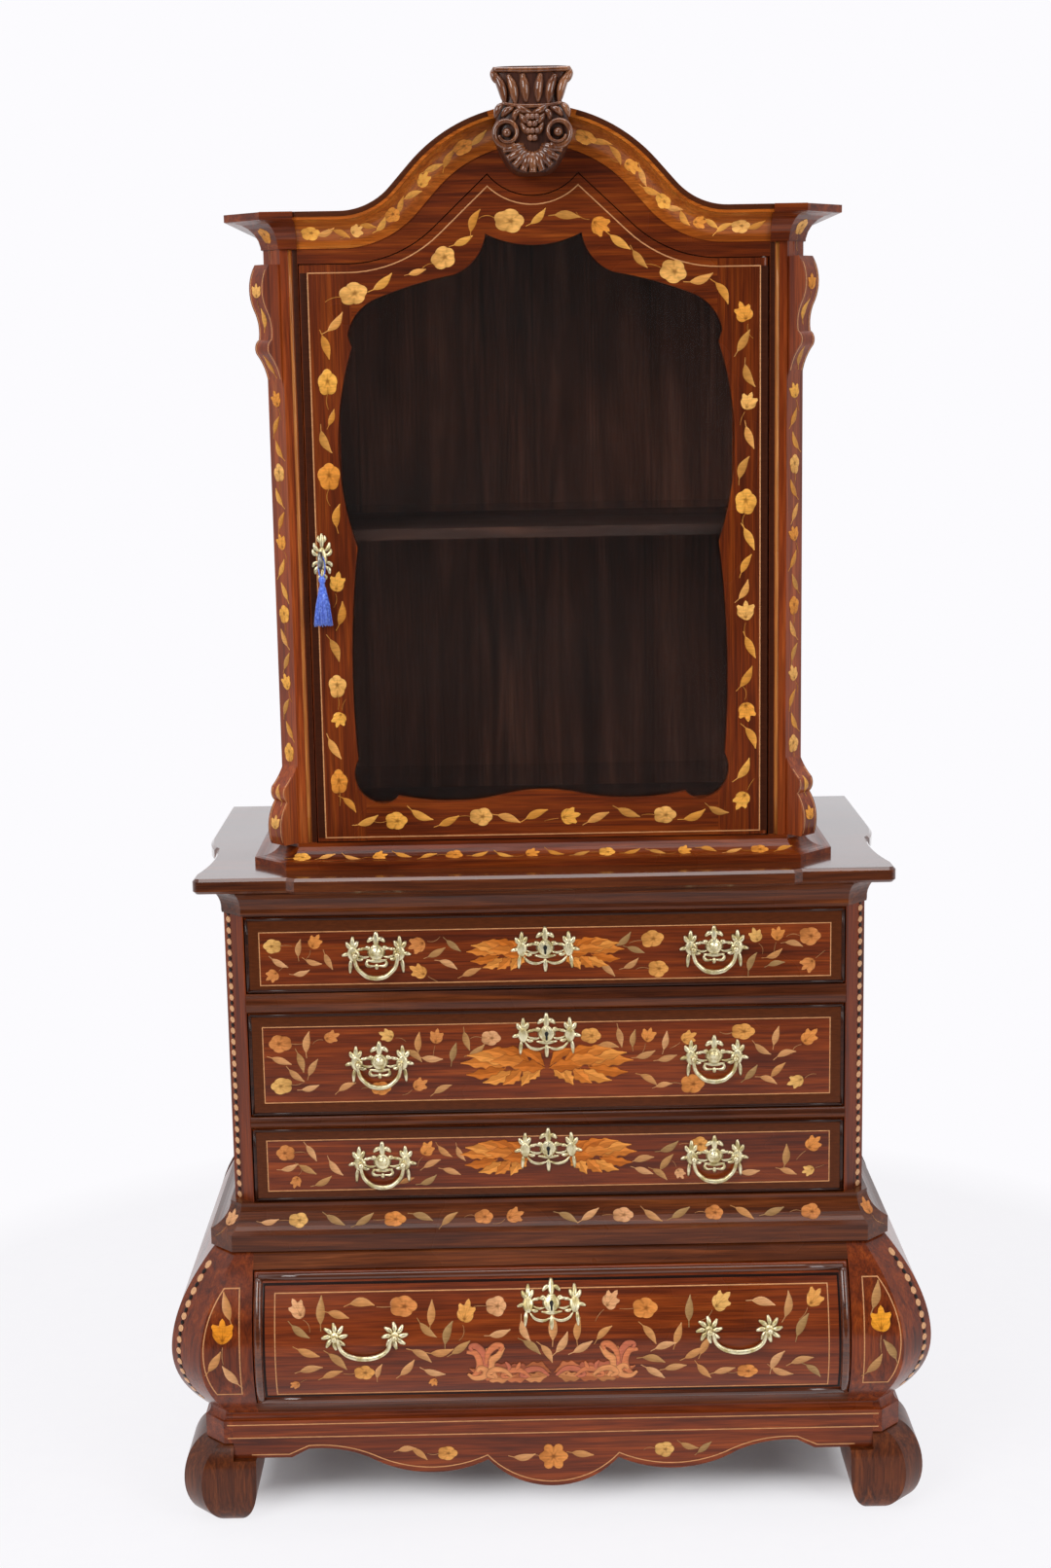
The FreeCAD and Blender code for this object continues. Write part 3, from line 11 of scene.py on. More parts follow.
import bpy
import numpy as np
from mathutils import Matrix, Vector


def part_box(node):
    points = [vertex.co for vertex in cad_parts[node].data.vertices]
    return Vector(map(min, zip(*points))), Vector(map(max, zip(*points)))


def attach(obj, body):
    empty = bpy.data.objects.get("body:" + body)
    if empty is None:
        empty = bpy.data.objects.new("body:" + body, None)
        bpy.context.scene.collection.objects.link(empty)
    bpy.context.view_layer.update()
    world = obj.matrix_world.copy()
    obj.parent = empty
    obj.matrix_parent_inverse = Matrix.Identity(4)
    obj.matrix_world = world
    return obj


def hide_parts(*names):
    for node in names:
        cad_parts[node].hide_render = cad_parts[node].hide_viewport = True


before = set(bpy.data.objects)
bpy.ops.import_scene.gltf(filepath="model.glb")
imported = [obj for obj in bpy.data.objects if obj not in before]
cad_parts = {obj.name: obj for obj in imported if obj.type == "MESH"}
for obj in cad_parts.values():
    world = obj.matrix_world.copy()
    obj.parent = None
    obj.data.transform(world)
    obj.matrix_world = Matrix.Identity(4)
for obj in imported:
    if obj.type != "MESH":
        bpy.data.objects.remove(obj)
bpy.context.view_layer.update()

MM = 0.001
DRAWER_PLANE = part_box("drawer_1_front")[0].y / MM
print("nodes:", len(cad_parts), "drawer plane at y", round(DRAWER_PLANE, 1), "mm")

# %% [markdown]
# ## From arrays to pieces
# Each new piece is a surface worked out with numpy: a grid of points that a formula places, and the
# quads between them. It could be modelled by hand, but a formula keeps every leaf and scroll the same
# size from drawer to drawer.


# %% Grids
def quads_of(rows, columns, wrap=False):
    """Quads between neighbours in a grid numbered row by row; wrap joins the last column to the first."""
    steps = columns if wrap else columns - 1
    row, column = np.meshgrid(np.arange(rows - 1), np.arange(steps), indexing="ij")
    beside = (column + 1) % columns
    corners = [row * columns + column, row * columns + beside,
               (row + 1) * columns + beside, (row + 1) * columns + column]
    return np.stack(corners, -1).reshape(-1, 4)


def lid_of(columns):
    """Quads that close a ring with an even count of points, fanned out from its first point."""
    odd = np.arange(1, columns - 2, 2)
    return np.stack([0 * odd, odd, odd + 1, odd + 2], -1)


def stack_of(rings, columns):
    """Quads of a stack of rings, each joined to the next, with both ends closed."""
    lid = lid_of(columns)
    return np.concatenate([quads_of(rings, columns, True), lid[:, ::-1], lid + (rings - 1) * columns])


def copies_of(quads, points, copies):
    """The same quads for many grids whose points follow each other in one list."""
    return (quads + points * np.arange(copies)[:, None, None]).reshape(-1, 4)


# %% [markdown]
# Points and quads go into a mesh in one go, which is far quicker than adding them one by one. Sizes are
# in millimetres across (x), behind the plane of the straight drawers (depth) and up (z), as a joiner
# measures, and become metres at this last moment. Each piece rides on the body that carries it, so that
# it moves with its drawer or door.


# %% Pieces
def piece(name, surfaces, material, body, thick=0):
    """One object from surfaces, each (points in mm, quads) or (points, quads, colours), riding on a body.

    thick turns an open sheet of veneer into a thin board, inwards from its drawn face, and normals weighted
    by area keep that face flat up to its edge.
    """
    firsts = np.cumsum([0] + [len(surface[0]) for surface in surfaces])
    points = np.concatenate([surface[0] for surface in surfaces]) + (0, DRAWER_PLANE, 0)
    quads = np.concatenate([surface[1] + first for surface, first in zip(surfaces, firsts)])
    mesh = bpy.data.meshes.new(name)
    mesh.vertices.add(len(points))
    mesh.vertices.foreach_set("co", (points * MM).astype(np.float32).ravel())
    mesh.loops.add(quads.size)
    mesh.loops.foreach_set("vertex_index", quads.astype(np.int32).ravel())
    mesh.polygons.add(len(quads))
    mesh.polygons.foreach_set("loop_start", np.arange(0, quads.size, 4, dtype=np.int32))
    mesh.polygons.foreach_set("use_smooth", np.ones(len(quads), bool))
    mesh.update(calc_edges=True)
    if len(surfaces[0]) > 2:
        colours = np.concatenate([surface[2] for surface in surfaces])
        layer = mesh.attributes.new("veneer", "FLOAT_COLOR", "POINT")
        rgba = np.column_stack([colours, np.ones(len(colours))])
        layer.data.foreach_set("color", rgba.astype(np.float32).ravel())
    mesh.materials.append(material)
    made = bpy.data.objects.new(name, mesh)
    bpy.context.scene.collection.objects.link(made)
    if thick:
        sheet = made.modifiers.new("thickness", "SOLIDIFY")
        sheet.thickness = thick * MM
        sheet.offset = -1
        flat = made.modifiers.new("flat_faces", "WEIGHTED_NORMAL")
        flat.weight = 100
    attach(made, body)
    print(f"{name}: {len(quads)} quads on {body}")
    return made


# %% [markdown]
# ## Lines that a maker draws
# Scrolls, strings and stems start as lines. A line through chosen points is made smooth with a cubic
# for each stretch, a compass arc goes through three points, and a straight line is cut into short
# steps so that it can bend over a swelling front later.


# %% Lines
def line_through(points, count):
    """A smooth line: between b and c, with neighbours a and d, it is the cubic that leaves b along c - a
    and arrives at c along d - b."""
    given = np.asarray(points, float)
    ends = np.vstack([2 * given[0] - given[1], given, 2 * given[-1] - given[-2]])
    at = np.linspace(0, len(given) - 1, count)
    stretch = np.minimum(at.astype(int), len(given) - 2)
    t = (at - stretch)[:, None]
    a, b, c, d = (ends[stretch + k] for k in range(4))
    return b + t * (c - a) / 2 + t**2 * (2 * a - 5 * b + 4 * c - d) / 2 + t**3 * (3 * b - a - 3 * c + d) / 2


def arc_through(a, b, c, count=12):
    """Points on the circle through a, b and c: its centre is as far from a as from b and from c."""
    a, b, c = (np.asarray(point, float) for point in (a, b, c))
    centre = np.linalg.solve(2 * np.array([b - a, c - a]), [b @ b - a @ a, c @ c - a @ a])
    first, middle, last = (math.atan2(*(point - centre)[::-1]) for point in (a, b, c))
    turn = (last - first) % math.tau
    if (middle - first) % math.tau > turn:
        turn -= math.tau
    angle = first + turn * np.linspace(0, 1, count)
    return centre + math.dist(a, centre) * np.column_stack([np.cos(angle), np.sin(angle)])


def stepped(corners, step=8, closed=False):
    """Straight runs from corner to corner, cut into equal steps no longer than the given one."""
    corners = [np.asarray(corner, float) for corner in corners]
    nexts = corners[1:] + (corners[:1] if closed else [])
    runs = [np.linspace(a, b, int(math.dist(a, b) / step) + 2)[:-1] for a, b in zip(corners, nexts)]
    return np.concatenate(runs if closed else runs + [corners[-1][None]])


# %% [markdown]
# ## Rods and turned shapes
# Brass scrolls, beads, bails and silk strands are rods: a section that is carried along a line and may
# swell on its way. Bosses and knobs are turned, as on a lathe: a profile spun about an axis. Blender has
# curves with a bevel and a spin tool for both, but arrays keep all sizes in one place.

# %% Rods and turning
FORWARDS = (0, -1, 0)


def rod(path, wide, high, sides=8, face=FORWARDS):
    """A section carried along a path: at each point an ellipse, wide across the path and high along the
    face's outward direction, with closed ends."""
    path = np.asarray(path, float)
    count = len(path)
    wide, high = (np.broadcast_to(size, count)[:, None, None] for size in (wide, high))
    along = np.gradient(path, axis=0)
    along /= np.linalg.norm(along, axis=1, keepdims=True)
    across = np.cross(face, along)
    across /= np.linalg.norm(across, axis=1, keepdims=True)
    up = np.cross(along, across)
    turn = np.linspace(0, math.tau, sides, endpoint=False)[None, :, None]
    rings = path[:, None] + wide * np.cos(turn) * across[:, None] + high * np.sin(turn) * up[:, None]
    return rings.reshape(-1, 3), stack_of(count, sides)


def turned(profile, centre, axis=FORWARDS, sides=16):
    """A turned shape: a profile of (distance along the axis, radius) spun about the axis, ends closed."""
    profile = np.asarray(profile, float)
    axis = np.asarray(axis, float)
    side = np.cross(axis, (0, 0, 1) if abs(axis[2]) < 0.5 else (1, 0, 0))
    up = np.cross(axis, side)
    turn = np.linspace(0, math.tau, sides, endpoint=False)[None, :, None]
    rings = (np.asarray(centre, float) + profile[:, :1, None] * axis
             + profile[:, 1:, None] * (np.cos(turn) * side + np.sin(turn) * up))
    return rings.reshape(-1, 3), stack_of(len(profile), sides)


def squarish(angle, power):
    """The radius of a rounded square at an angle: (|cos|^p + |sin|^p)^(-1/p)."""
    return (np.abs(np.cos(angle)) ** power + np.abs(np.sin(angle)) ** power) ** (-1 / power)


# %% [markdown]
# ## Finishes
# A finish starts from what the real material is and how it was worked. Colours are written as sRGB
# hex, as they are picked, and one function turns them into the linear values that shaders use.
# Two more add a node and feed its inputs. Every finish reads the object's own coordinates, so its
# pattern stays with the board when a drawer or door moves.


# %% Colours and nodes
def linear(code):
    """An sRGB hex colour in linear light."""
    shown = np.array([int(code[i:i + 2], 16) for i in (1, 3, 5)]) / 255
    return np.where(shown <= 0.04045, shown / 12.92, ((shown + 0.055) / 1.055) ** 2.4)


def feed(node, feeds):
    """Gives a node's inputs their values, or links them to another node's output."""
    for name, value in feeds.items():
        if isinstance(value, bpy.types.NodeSocket):
            node.id_data.links.new(value, node.inputs[name])
        else:
            node.inputs[name].default_value = value


def add(tree, kind, feeds=None, stops=(), **options):
    """Adds a node: options are its settings, feeds its inputs and stops the colours along a ramp."""
    node = tree.nodes.new("ShaderNode" + kind)
    for name, value in options.items():
        setattr(node, name, value)
    feed(node, feeds or {})
    for i, (place, code) in enumerate(stops):
        stop = node.color_ramp.elements[i] if i < 2 else node.color_ramp.elements.new(place)
        stop.position = place
        stop.color = (*linear(code), 1)
    return node


def new_finish(name):
    """A material with its node tree, its shader and the object's own coordinates."""
    material = bpy.data.materials.new(name)
    material.use_nodes = True
    tree = material.node_tree
    return material, tree, tree.nodes["Principled BSDF"], add(tree, "TexCoord").outputs["Object"]


NOISE_SPAN = {"From Min": 0.3, "From Max": 0.7}  # a noise mostly stays between these values


# %% [markdown]
# ## Polished mahogany
# Mahogany is red-brown with long, soft streaks and short dark pores along the grain. French polish
# lays a clear, glossy coat over it, so it shows soft window-like lights. The streaks are noise that is
# stretched along the grain: about 400 mm long and 14 mm broad. The pores are really 0.3 mm wide, and are
# drawn about 2 mm wide so that they show at all. One recipe serves every board, turned to its grain.


# %% The wood recipe
def mitred(tree, place, turn):
    """Coordinates whose X and Y change places beyond turn mm to either side, so that the grain follows a
    moulding round its mitred corner."""
    axes = add(tree, "SeparateXYZ", {0: place}).outputs
    crossed = add(tree, "CombineXYZ", {"X": axes["Y"], "Y": axes["X"], "Z": axes["Z"]})
    change = add(tree, "VectorMath", {0: crossed.outputs[0], 1: place}, operation="SUBTRACT")
    aside = add(tree, "Math", {0: axes["X"]}, operation="ABSOLUTE")
    beyond = add(tree, "Math", {0: aside.outputs[0], 1: turn * MM}, operation="GREATER_THAN")
    return add(tree, "VectorMath", {0: change.outputs[0], 1: beyond.outputs[0], 2: place},
               operation="MULTIPLY_ADD").outputs[0]


def grain_scale(grain, along, across):
    """The scale at which so many mm along the grain, and so many across it, count as one."""
    scale = np.full(3, 1000 / across)
    scale[grain] = 1000 / along
    return scale


def board_joints(tree, place, board):
    """A shade that is dark at the joints between upright boards of a breadth in mm."""
    across = add(tree, "SeparateXYZ", {0: place}).outputs["X"]
    share = add(tree, "Math", {0: across, 1: board * MM}, operation="DIVIDE")
    share = add(tree, "Math", {0: share.outputs[0]}, operation="FRACT")
    return add(tree, "MapRange", {"Value": share.outputs[0], "From Max": 0.035, "To Min": 0.3}).outputs[0]


def wood(name, stops, grain, roughness, coat=0.0, streak=14, board=0, turn=0):
    """Wood with streaks and pores along one axis (0 is X, 1 is Y, 2 is Z). board is the breadth of its
    boards, if their joints show, and turn the distance to a mitred corner, both in mm."""
    material, tree, shader, place = new_finish(name)
    if turn:
        place = mitred(tree, place, turn)
    streaks = add(tree, "Mapping", {"Vector": place, "Scale": grain_scale(grain, 400, streak)})
    fibres = add(tree, "Mapping", {"Vector": place, "Scale": grain_scale(grain, 60, 2)})
    figure = add(tree, "TexNoise", {"Vector": streaks.outputs[0], "Scale": 1.0, "Detail": 5.0,
                                    "Roughness": 0.6, "Distortion": 0.9})
    pores = add(tree, "TexNoise", {"Vector": fibres.outputs[0], "Scale": 1.0, "Detail": 2.0,
                                   "Roughness": 0.5})
    clouds = add(tree, "TexNoise", {"Vector": place, "Scale": 5.0, "Detail": 3.0})
    colour = add(tree, "ValToRGB", {"Fac": figure.outputs["Fac"]}, stops=stops)
    dark = add(tree, "MapRange", {"Value": pores.outputs["Fac"], "From Min": 0.35, "From Max": 0.62,
                                  "To Min": 0.65, "To Max": 1.06})
    cloudy = add(tree, "MapRange", {"Value": clouds.outputs["Fac"], **NOISE_SPAN,
                                    "To Min": 0.86, "To Max": 1.12})
    gloss = add(tree, "MapRange", {"Value": clouds.outputs["Fac"], **NOISE_SPAN,
                                   "To Min": roughness * 0.8, "To Max": roughness * 1.25})
    shade = add(tree, "Math", {0: dark.outputs[0], 1: cloudy.outputs[0]}, operation="MULTIPLY")
    if board:
        shade = add(tree, "Math", {0: shade.outputs[0], 1: board_joints(tree, place, board)},
                    operation="MULTIPLY")
    tinted = add(tree, "VectorMath", {0: colour.outputs["Color"], "Scale": shade.outputs[0]},
                 operation="SCALE")
    bump = add(tree, "Bump", {"Height": pores.outputs["Fac"], "Strength": 0.12, "Distance": 0.0004})
    feed(shader, {"Base Color": tinted.outputs[0], "Normal": bump.outputs[0], "Coat Weight": coat,
                  "Roughness": gloss.outputs[0], "Coat Roughness": 0.1, "IOR": 1.5,
                  "Specular IOR Level": 0.22})
    return material


# %% [markdown]
# ## The woods of this piece
# The maker chose the wood for each place. Drawer fronts and sides are deep red, the mouldings and the top
# a darker brown, and the cornice is the palest, honey-coloured one, painted lighter still to make up for
# the shade in its hollow, which faces down. The beads on the posts are a pale wood that paints the
# highlight along them, and the beads round the drawers are dark as painted shade at the drawers' edges.
# Inside there are plain stained boards, and the drawers are lined with oak. Only the outer woods are
# polished.

# %% Woods
DEEP_RED = [(0.25, "#401608"), (0.48, "#722d0d"), (0.62, "#883a11"), (0.8, "#a4521e")]
WARM_RED = [(0.25, "#3e1506"), (0.48, "#6d2a09"), (0.62, "#853a0d"), (0.8, "#a2511a")]
POST_RED = [(0.25, "#5a200b"), (0.48, "#8a3912"), (0.62, "#9f4a1b"), (0.8, "#b6642e")]
HONEY_RED = [(0.25, "#843c0e"), (0.48, "#b25a17"), (0.62, "#c36b22"), (0.8, "#d58536")]
DARK_BROWN = [(0.25, "#34160a"), (0.5, "#5c2a10"), (0.65, "#733917"), (0.8, "#8f5028")]
PALE_FOR_HIGHLIGHT = [(0.25, "#8a4a1c"), (0.5, "#b26a2e"), (0.65, "#c47c3c"), (0.8, "#d29050")]
DARK_FOR_EDGE_SHADE = [(0.3, "#1e0c06"), (0.5, "#341609"), (0.8, "#4c2412")]
INSIDE_BROWN = [(0.3, "#26140e"), (0.5, "#3a2118"), (0.65, "#4a2c20"), (0.8, "#5a382a")]
BACK_BROWN = [(0.3, "#341c14"), (0.5, "#523024"), (0.65, "#663f30"), (0.8, "#784e3e")]
OAK = [(0.3, "#7d5a33"), (0.5, "#9a7445"), (0.65, "#ad8756"), (0.8, "#bb9765")]
drawer_mahogany = wood("mahogany_drawer_veneer", DEEP_RED, 0, 0.3, 0.2, turn=466)  # sets off the flowers
door_mahogany = wood("mahogany_door_stiles", WARM_RED, 2, 0.3, 0.2)  # streaks that lead the eye up
rail_mahogany = wood("mahogany_door_rails", WARM_RED, 0, 0.3, 0.2, turn=374)  # the same, but across
# The cornice's honey colour is its pale wood, painted lighter still to make up for the shade in its hollow,
# which faces down.
cornice_mahogany = wood("mahogany_cornice", HONEY_RED, 0, 0.28, 0.25)  # bleached by light, it seems to glow
moulding_mahogany = wood("mahogany_mouldings", DARK_BROWN, 0, 0.26, 0.15, turn=466)  # parts the tiers
top_mahogany = wood("mahogany_polished_top", DARK_BROWN, 0, 0.2, 1.0)  # a thick polish, almost a mirror
post_mahogany = wood("mahogany_cabinet_posts", POST_RED, 2, 0.3, 0.2)  # paler than the door beside it
upright_mahogany = wood("mahogany_posts_and_sides", DEEP_RED, 2, 0.28, 0.2)  # broad, quiet boards
side_mahogany = wood("mahogany_swelling_sides", DEEP_RED, 1, 0.26, 0.25)  # streaks that follow the swell
foot_mahogany = wood("mahogany_feet", DARK_BROWN, 2, 0.34, 0.15)  # dull and dark, as near the floor
corner_mahogany = wood("mahogany_chest_corners", DEEP_RED, 2, 0.38)  # worn, so without gloss
# The post beads' pale wood is a painted highlight along them.
bead_mahogany = wood("mahogany_beads_painted_highlight", PALE_FOR_HIGHLIGHT, 2, 0.26, 0.2)  # thin lines of light
# The cock beads are coloured dark as painted shade along the drawers' edges.
cock_bead_mahogany = wood("mahogany_cock_beads_painted_shade", DARK_FOR_EDGE_SHADE, 0, 0.26, 0.2)  # dark round a drawer
stained_wood = wood("stained_inner_boards", INSIDE_BROWN, 2, 0.7, streak=24)  # dim and matt
shelf_wood = wood("stained_shelf_and_roof_boards", INSIDE_BROWN, 0, 0.7, streak=24)  # dim and matt too
back_boards = wood("stained_back_boards", BACK_BROWN, 2, 0.8, streak=24, board=92)  # dark upright joints
oak = wood("oak_drawer_linings", OAK, 1, 0.6, streak=9)  # pale and dry
print("woods:", sorted(m.name for m in bpy.data.materials if "mahogany" in m.name))

# %% [markdown]
# ## Brass and steel
# The handles are cast brass that has gone pale and a little dull, with darker tarnish in patches about
# 12 mm across. The lock parts are dull steel. Both are plain metals with the usual IOR, and the patches
# come from noise that changes colour and roughness together, as tarnish does.


# %% Metals
def metal(name, bright, dull, roughness, patch):
    """Metal with tarnish in patches of the given size in mm."""
    material, tree, shader, place = new_finish(name)
    patches = add(tree, "TexNoise", {"Vector": place, "Scale": 1000 / patch, "Detail": 4.0})
    colour = add(tree, "ValToRGB", {"Fac": patches.outputs["Fac"]}, stops=[(0.36, dull), (0.55, bright)])
    gloss = add(tree, "MapRange", {"Value": patches.outputs["Fac"], **NOISE_SPAN,
                                   "To Min": roughness * 1.35, "To Max": roughness * 0.8})
    feed(shader, {"Base Color": colour.outputs["Color"], "Metallic": 1.0, "Roughness": gloss.outputs[0]})
    return material


brass = metal("brass_cast_and_aged", "#f0e6c0", "#bfae7a", 0.38, 12)  # pale gold with dull patches
steel = metal("steel_lock_work", "#9a9894", "#5c5a58", 0.42, 8)  # grey, hardly shining
print("metals:", brass.name, steel.name)

# %% [markdown]
# ## Glass and silk
# The glass is old drawn sheet: clear, and slightly wavy every 90 mm or so, which its bump shows. The
# tassel is floss silk: a strong blue with a sheen at grazing angles. Its threads are drawn 3 mm broad.

# %% Glass and silk
glass, tree, shader, place = new_finish("glass_old_drawn_sheet")
wave = add(tree, "TexNoise", {"Vector": place, "Scale": 1000 / 90, "Detail": 1.0})
ripple = add(tree, "Bump", {"Height": wave.outputs["Fac"], "Strength": 0.05, "Distance": 0.001})
feed(shader, {"Base Color": (*linear("#f3f7f4"), 1), "Normal": ripple.outputs[0], "Roughness": 0.0,
              "IOR": 1.46, "Transmission Weight": 1.0, "Alpha": 0.35})

silk, tree, shader, place = new_finish("silk_floss_blue")
threads = add(tree, "TexNoise", {"Vector": place, "Scale": 1000 / 3, "Detail": 2.0})
dye = add(tree, "ValToRGB", {"Fac": threads.outputs["Fac"]},
          stops=[(0.3, "#3656c4"), (0.55, "#5a7fee"), (0.75, "#9cb6fb")])
feed(shader, {"Base Color": dye.outputs["Color"], "Roughness": 0.5, "Sheen Weight": 0.5})
print("glass and silk:", glass.name, silk.name)

# %% [markdown]
# ## Veneers for the inlay
# Leaves and flowers were sawn from pale woods such as box and maple, some of them dyed. One finish serves
# them all: it reads the colour that each point of a veneer carries, and adds fine flecks of fibre, drawn
# 2.5 mm broad and 12 mm long. The polish over the inlay is thin, so it stays duller than the boards.

# %% Veneer finish
inlay_veneer, tree, shader, place = new_finish("veneers_sand_shaded")
tone = add(tree, "Attribute", attribute_name="veneer")
fibres = add(tree, "Mapping", {"Vector": place, "Scale": (80, 400, 400)})
flecks = add(tree, "TexNoise", {"Vector": fibres.outputs[0], "Scale": 1.0, "Detail": 3.0})
shade = add(tree, "MapRange", {"Value": flecks.outputs["Fac"], **NOISE_SPAN, "To Min": 0.8, "To Max": 1.15})
toned = add(tree, "VectorMath", {0: tone.outputs["Color"], "Scale": shade.outputs[0]}, operation="SCALE")
feed(shader, {"Base Color": toned.outputs[0], "Roughness": 0.34, "Specular IOR Level": 0.12,
              "Coat Weight": 0.06, "Coat Roughness": 0.16})
print("materials:", len(bpy.data.materials))

# %% [markdown]
# ## Each board gets its wood
# The grain runs along a board, so rails and drawer fronts take the wood with streaks along X, stiles
# and posts along Z, and the swelling sides from front to back.

# %% Finishes on the frame's own pieces
WEARERS = {
    drawer_mahogany: [f"drawer_{n}_front" for n in range(1, 5)] + ["apron", "base_plinth"],
    door_mahogany: ["door_lock_stile", "door_hinge_stile", "glazing_beads"],
    post_mahogany: ["cabinet_posts", "corbels"],
    rail_mahogany: ["door_top_rail", "door_bottom_rail", "cabinet_plinth", "cornice_returns", "frieze"],
    cornice_mahogany: ["cornice_arch"],
    moulding_mahogany: ["head_moulding", "front_rails", "waist_moulding"],
    top_mahogany: ["chest_top"],
    upright_mahogany: ["lower_corner_posts", "chest_sides", "cabinet_sides"],
    corner_mahogany: ["corner_posts"],
    side_mahogany: ["lower_sides"],
    foot_mahogany: ["feet", "crest"],
    back_boards: ["cabinet_back", "chest_back"],
    stained_wood: ["shelf_bearers", "drawer_runners"],
    shelf_wood: ["dust_boards", "shelf", "cabinet_floor", "roof"],
    oak: [f"drawer_{n}_lining" for n in range(1, 5)],
    brass: ["door_escutcheon"] + [f"drawer_{n}_brasses" for n in range(1, 5)]
           + [f"drawer_{n}_bail_{hand}" for n in range(1, 5) for hand in ("left", "right")],
    steel: ["hinge_pins", "lock_case", "lock_bolt", "key"],
    glass: ["door_glass"],
    silk: ["tassel"],
}
for finish, nodes in WEARERS.items():
    for name in nodes:
        worn_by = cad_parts[name].data.materials
        worn_by.clear()
        worn_by.append(finish)
left_bare = set(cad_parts) - {name for nodes in WEARERS.values() for name in nodes}
print("nodes without a finish:", sorted(left_bare))

# %% [markdown]
# ## The faces that carry inlay
# A design is drawn flat, as on the inlayer's paper, and a lay function bends it over its face: a plane,
# the swelling front, or the hollow of a moulding. Blender could wrap a sheet over a face with a modifier,
# but the faces here are planes and arcs, so a formula finds the place more surely.

# %% Lays
BELLY_Z, BELLY_OUT = 268, 91.5


def swell(z):
    """How far the lower chest swells out at a height: one parabola above its widest line, one below."""
    above = BELLY_OUT - 64.5 * ((z - BELLY_Z) / 144) ** 2
    below = BELLY_OUT - 41.5 * ((BELLY_Z - z) / 96) ** 2
    return np.where(z > BELLY_Z, above, below)


def on_face(x, depth, turn=0):
    """An upright plane through a point of the plan: turned 0 it looks forwards, 45 it is the canted
    right corner and 90 the right side. A design runs along it and up."""
    angle = math.radians(turn)
    along = np.array([math.cos(angle), math.sin(angle)])
    out = np.array([along[1], -along[0]])

    def lay(design, off):
        plan = np.array([x, depth]) + design[:, :1] * along + np.reshape(off, (-1, 1)) * out
        return np.column_stack([plan, design[:, 1]])

    return lay


def on_swell(stand):
    """The swelling front, or what stands proud of it, offset along its slope."""
    def lay(design, off):
        z = design[:, 1]
        steep = np.hypot(1, (swell(z + 1) - swell(z - 1)) / 2)
        return np.column_stack([design[:, 0], -(swell(z) + stand) - off * steep, z])

    return lay


def hollow_profile(across, off, start, end, sag):
    """A point of a hollow between two (height, out) ends, at a distance across its chord: off the chord
    by a circle's sagitta, less what the veneer stands off."""
    start, end = np.array(start, float), np.array(end, float)
    chord = math.dist(start, end)
    rise, reach = (end - start) / chord
    radius = (chord**2 / 4 + sag**2) / (2 * sag)
    dip = np.sqrt(np.maximum(radius**2 - (across - chord / 2) ** 2, 0)) - (radius - sag) - off
    return start[0] + rise * across + dip * reach, start[1] + reach * across - dip * rise


def on_hollow(face, start, end, sag):
    """A straight hollow moulding: a design runs along its face and across the hollow from its low edge."""
    def lay(design, off):
        height, out = hollow_profile(design[:, 1], off, start, end, sag)
        return face(np.column_stack([design[:, 0], height]), out)

    return lay


# %% [markdown]
# ## Leaves
# The inlay has a small vocabulary: slender leaves, round roses, tulips and daisies. Each was sawn from
# a pale wood and one edge was scorched in hot sand, so that it shades from honey to brown. A leaf is a
# grid of points along and across, and each point carries its colour.

# %% The inlayer's leaves
chance = np.random.default_rng(1780)


def flattened(points, colours, rise, quads):
    """Lists of design points (along, up, rise), quads and colours from arrays with one row a motif."""
    rise = np.broadcast_to(rise, points.shape[:-1])
    design = np.concatenate([points, rise[..., None]], -1).reshape(-1, 3)
    return design, copies_of(quads, points[0, ..., 0].size, len(points)), colours.reshape(-1, 3)


def blades(rows, tones, lobes=0, slim=0.17, stalk=0.25, rise=0.05):
    """Leaves, one for each row (x, z, length, angle, bend) about its middle. Along t from -stalk to 1
    the half breadth is slim * length * sin(pi t^0.8), waved by the lobes, with a thin stalk before 0;
    the middle line bows by bend * t(1 - t). Lobed leaves also have a dark rib and dark edges, which part
    them where they overlap. Each leaf rises a hair more than the last, so none coincide."""
    x, z, length, angle, bend = (np.asarray(column, float)[:, None, None] for column in zip(*rows))
    t = np.concatenate([[-stalk], np.linspace(0, 1, 25 if lobes else 9)])[None, :, None]
    v = np.array([1, 0.8, 0.12, 0, -0.12, -0.8, -1] if lobes else [1, 0, -1])[None, None, :]
    inside = np.clip(t, 0, 1)
    wave = 1 + 0.2 * np.cos(math.tau * lobes * t) if lobes else 1
    breadth = np.maximum(slim * np.sin(math.pi * inside**0.8) * wave, 0.018)
    along = length * (t - 0.5) + 0 * v
    across = length * (v * breadth + bend * 4 * (t - t**2))
    turn = np.radians(angle)
    points = np.stack([x + along * np.cos(turn) - across * np.sin(turn),
                       z + along * np.sin(turn) + across * np.cos(turn)], -1)
    scorch = 1.04 - 0.3 * (v < 0) * inside**0.3 - 0.1 * (v == 0) - 0.2 * (1 - inside) + 0 * along
    scorch = scorch - (lobes > 0) * (0.4 * (np.abs(v) == 1) + 0.25 * (v == 0))
    tint = np.array([1.0, 0.94, 0.84]) ** (4 * (1.04 - scorch[..., None]))
    colours = tones[:, None, None] * scorch[..., None] * tint
    order = rise + 0.006 * np.arange(len(rows))[:, None, None]
    return flattened(points, colours, order, quads_of(*points.shape[1:3]))


# %% [markdown]
# ## Flowers
# A flower is a grid round and outwards. Its outline is a circle that is waved into petals, with a little
# chance in it, because no two were sawn alike. The joints of the petals, the eye and one side are darker,
# as hot sand leaves them. Small plain ovals serve as pellets.


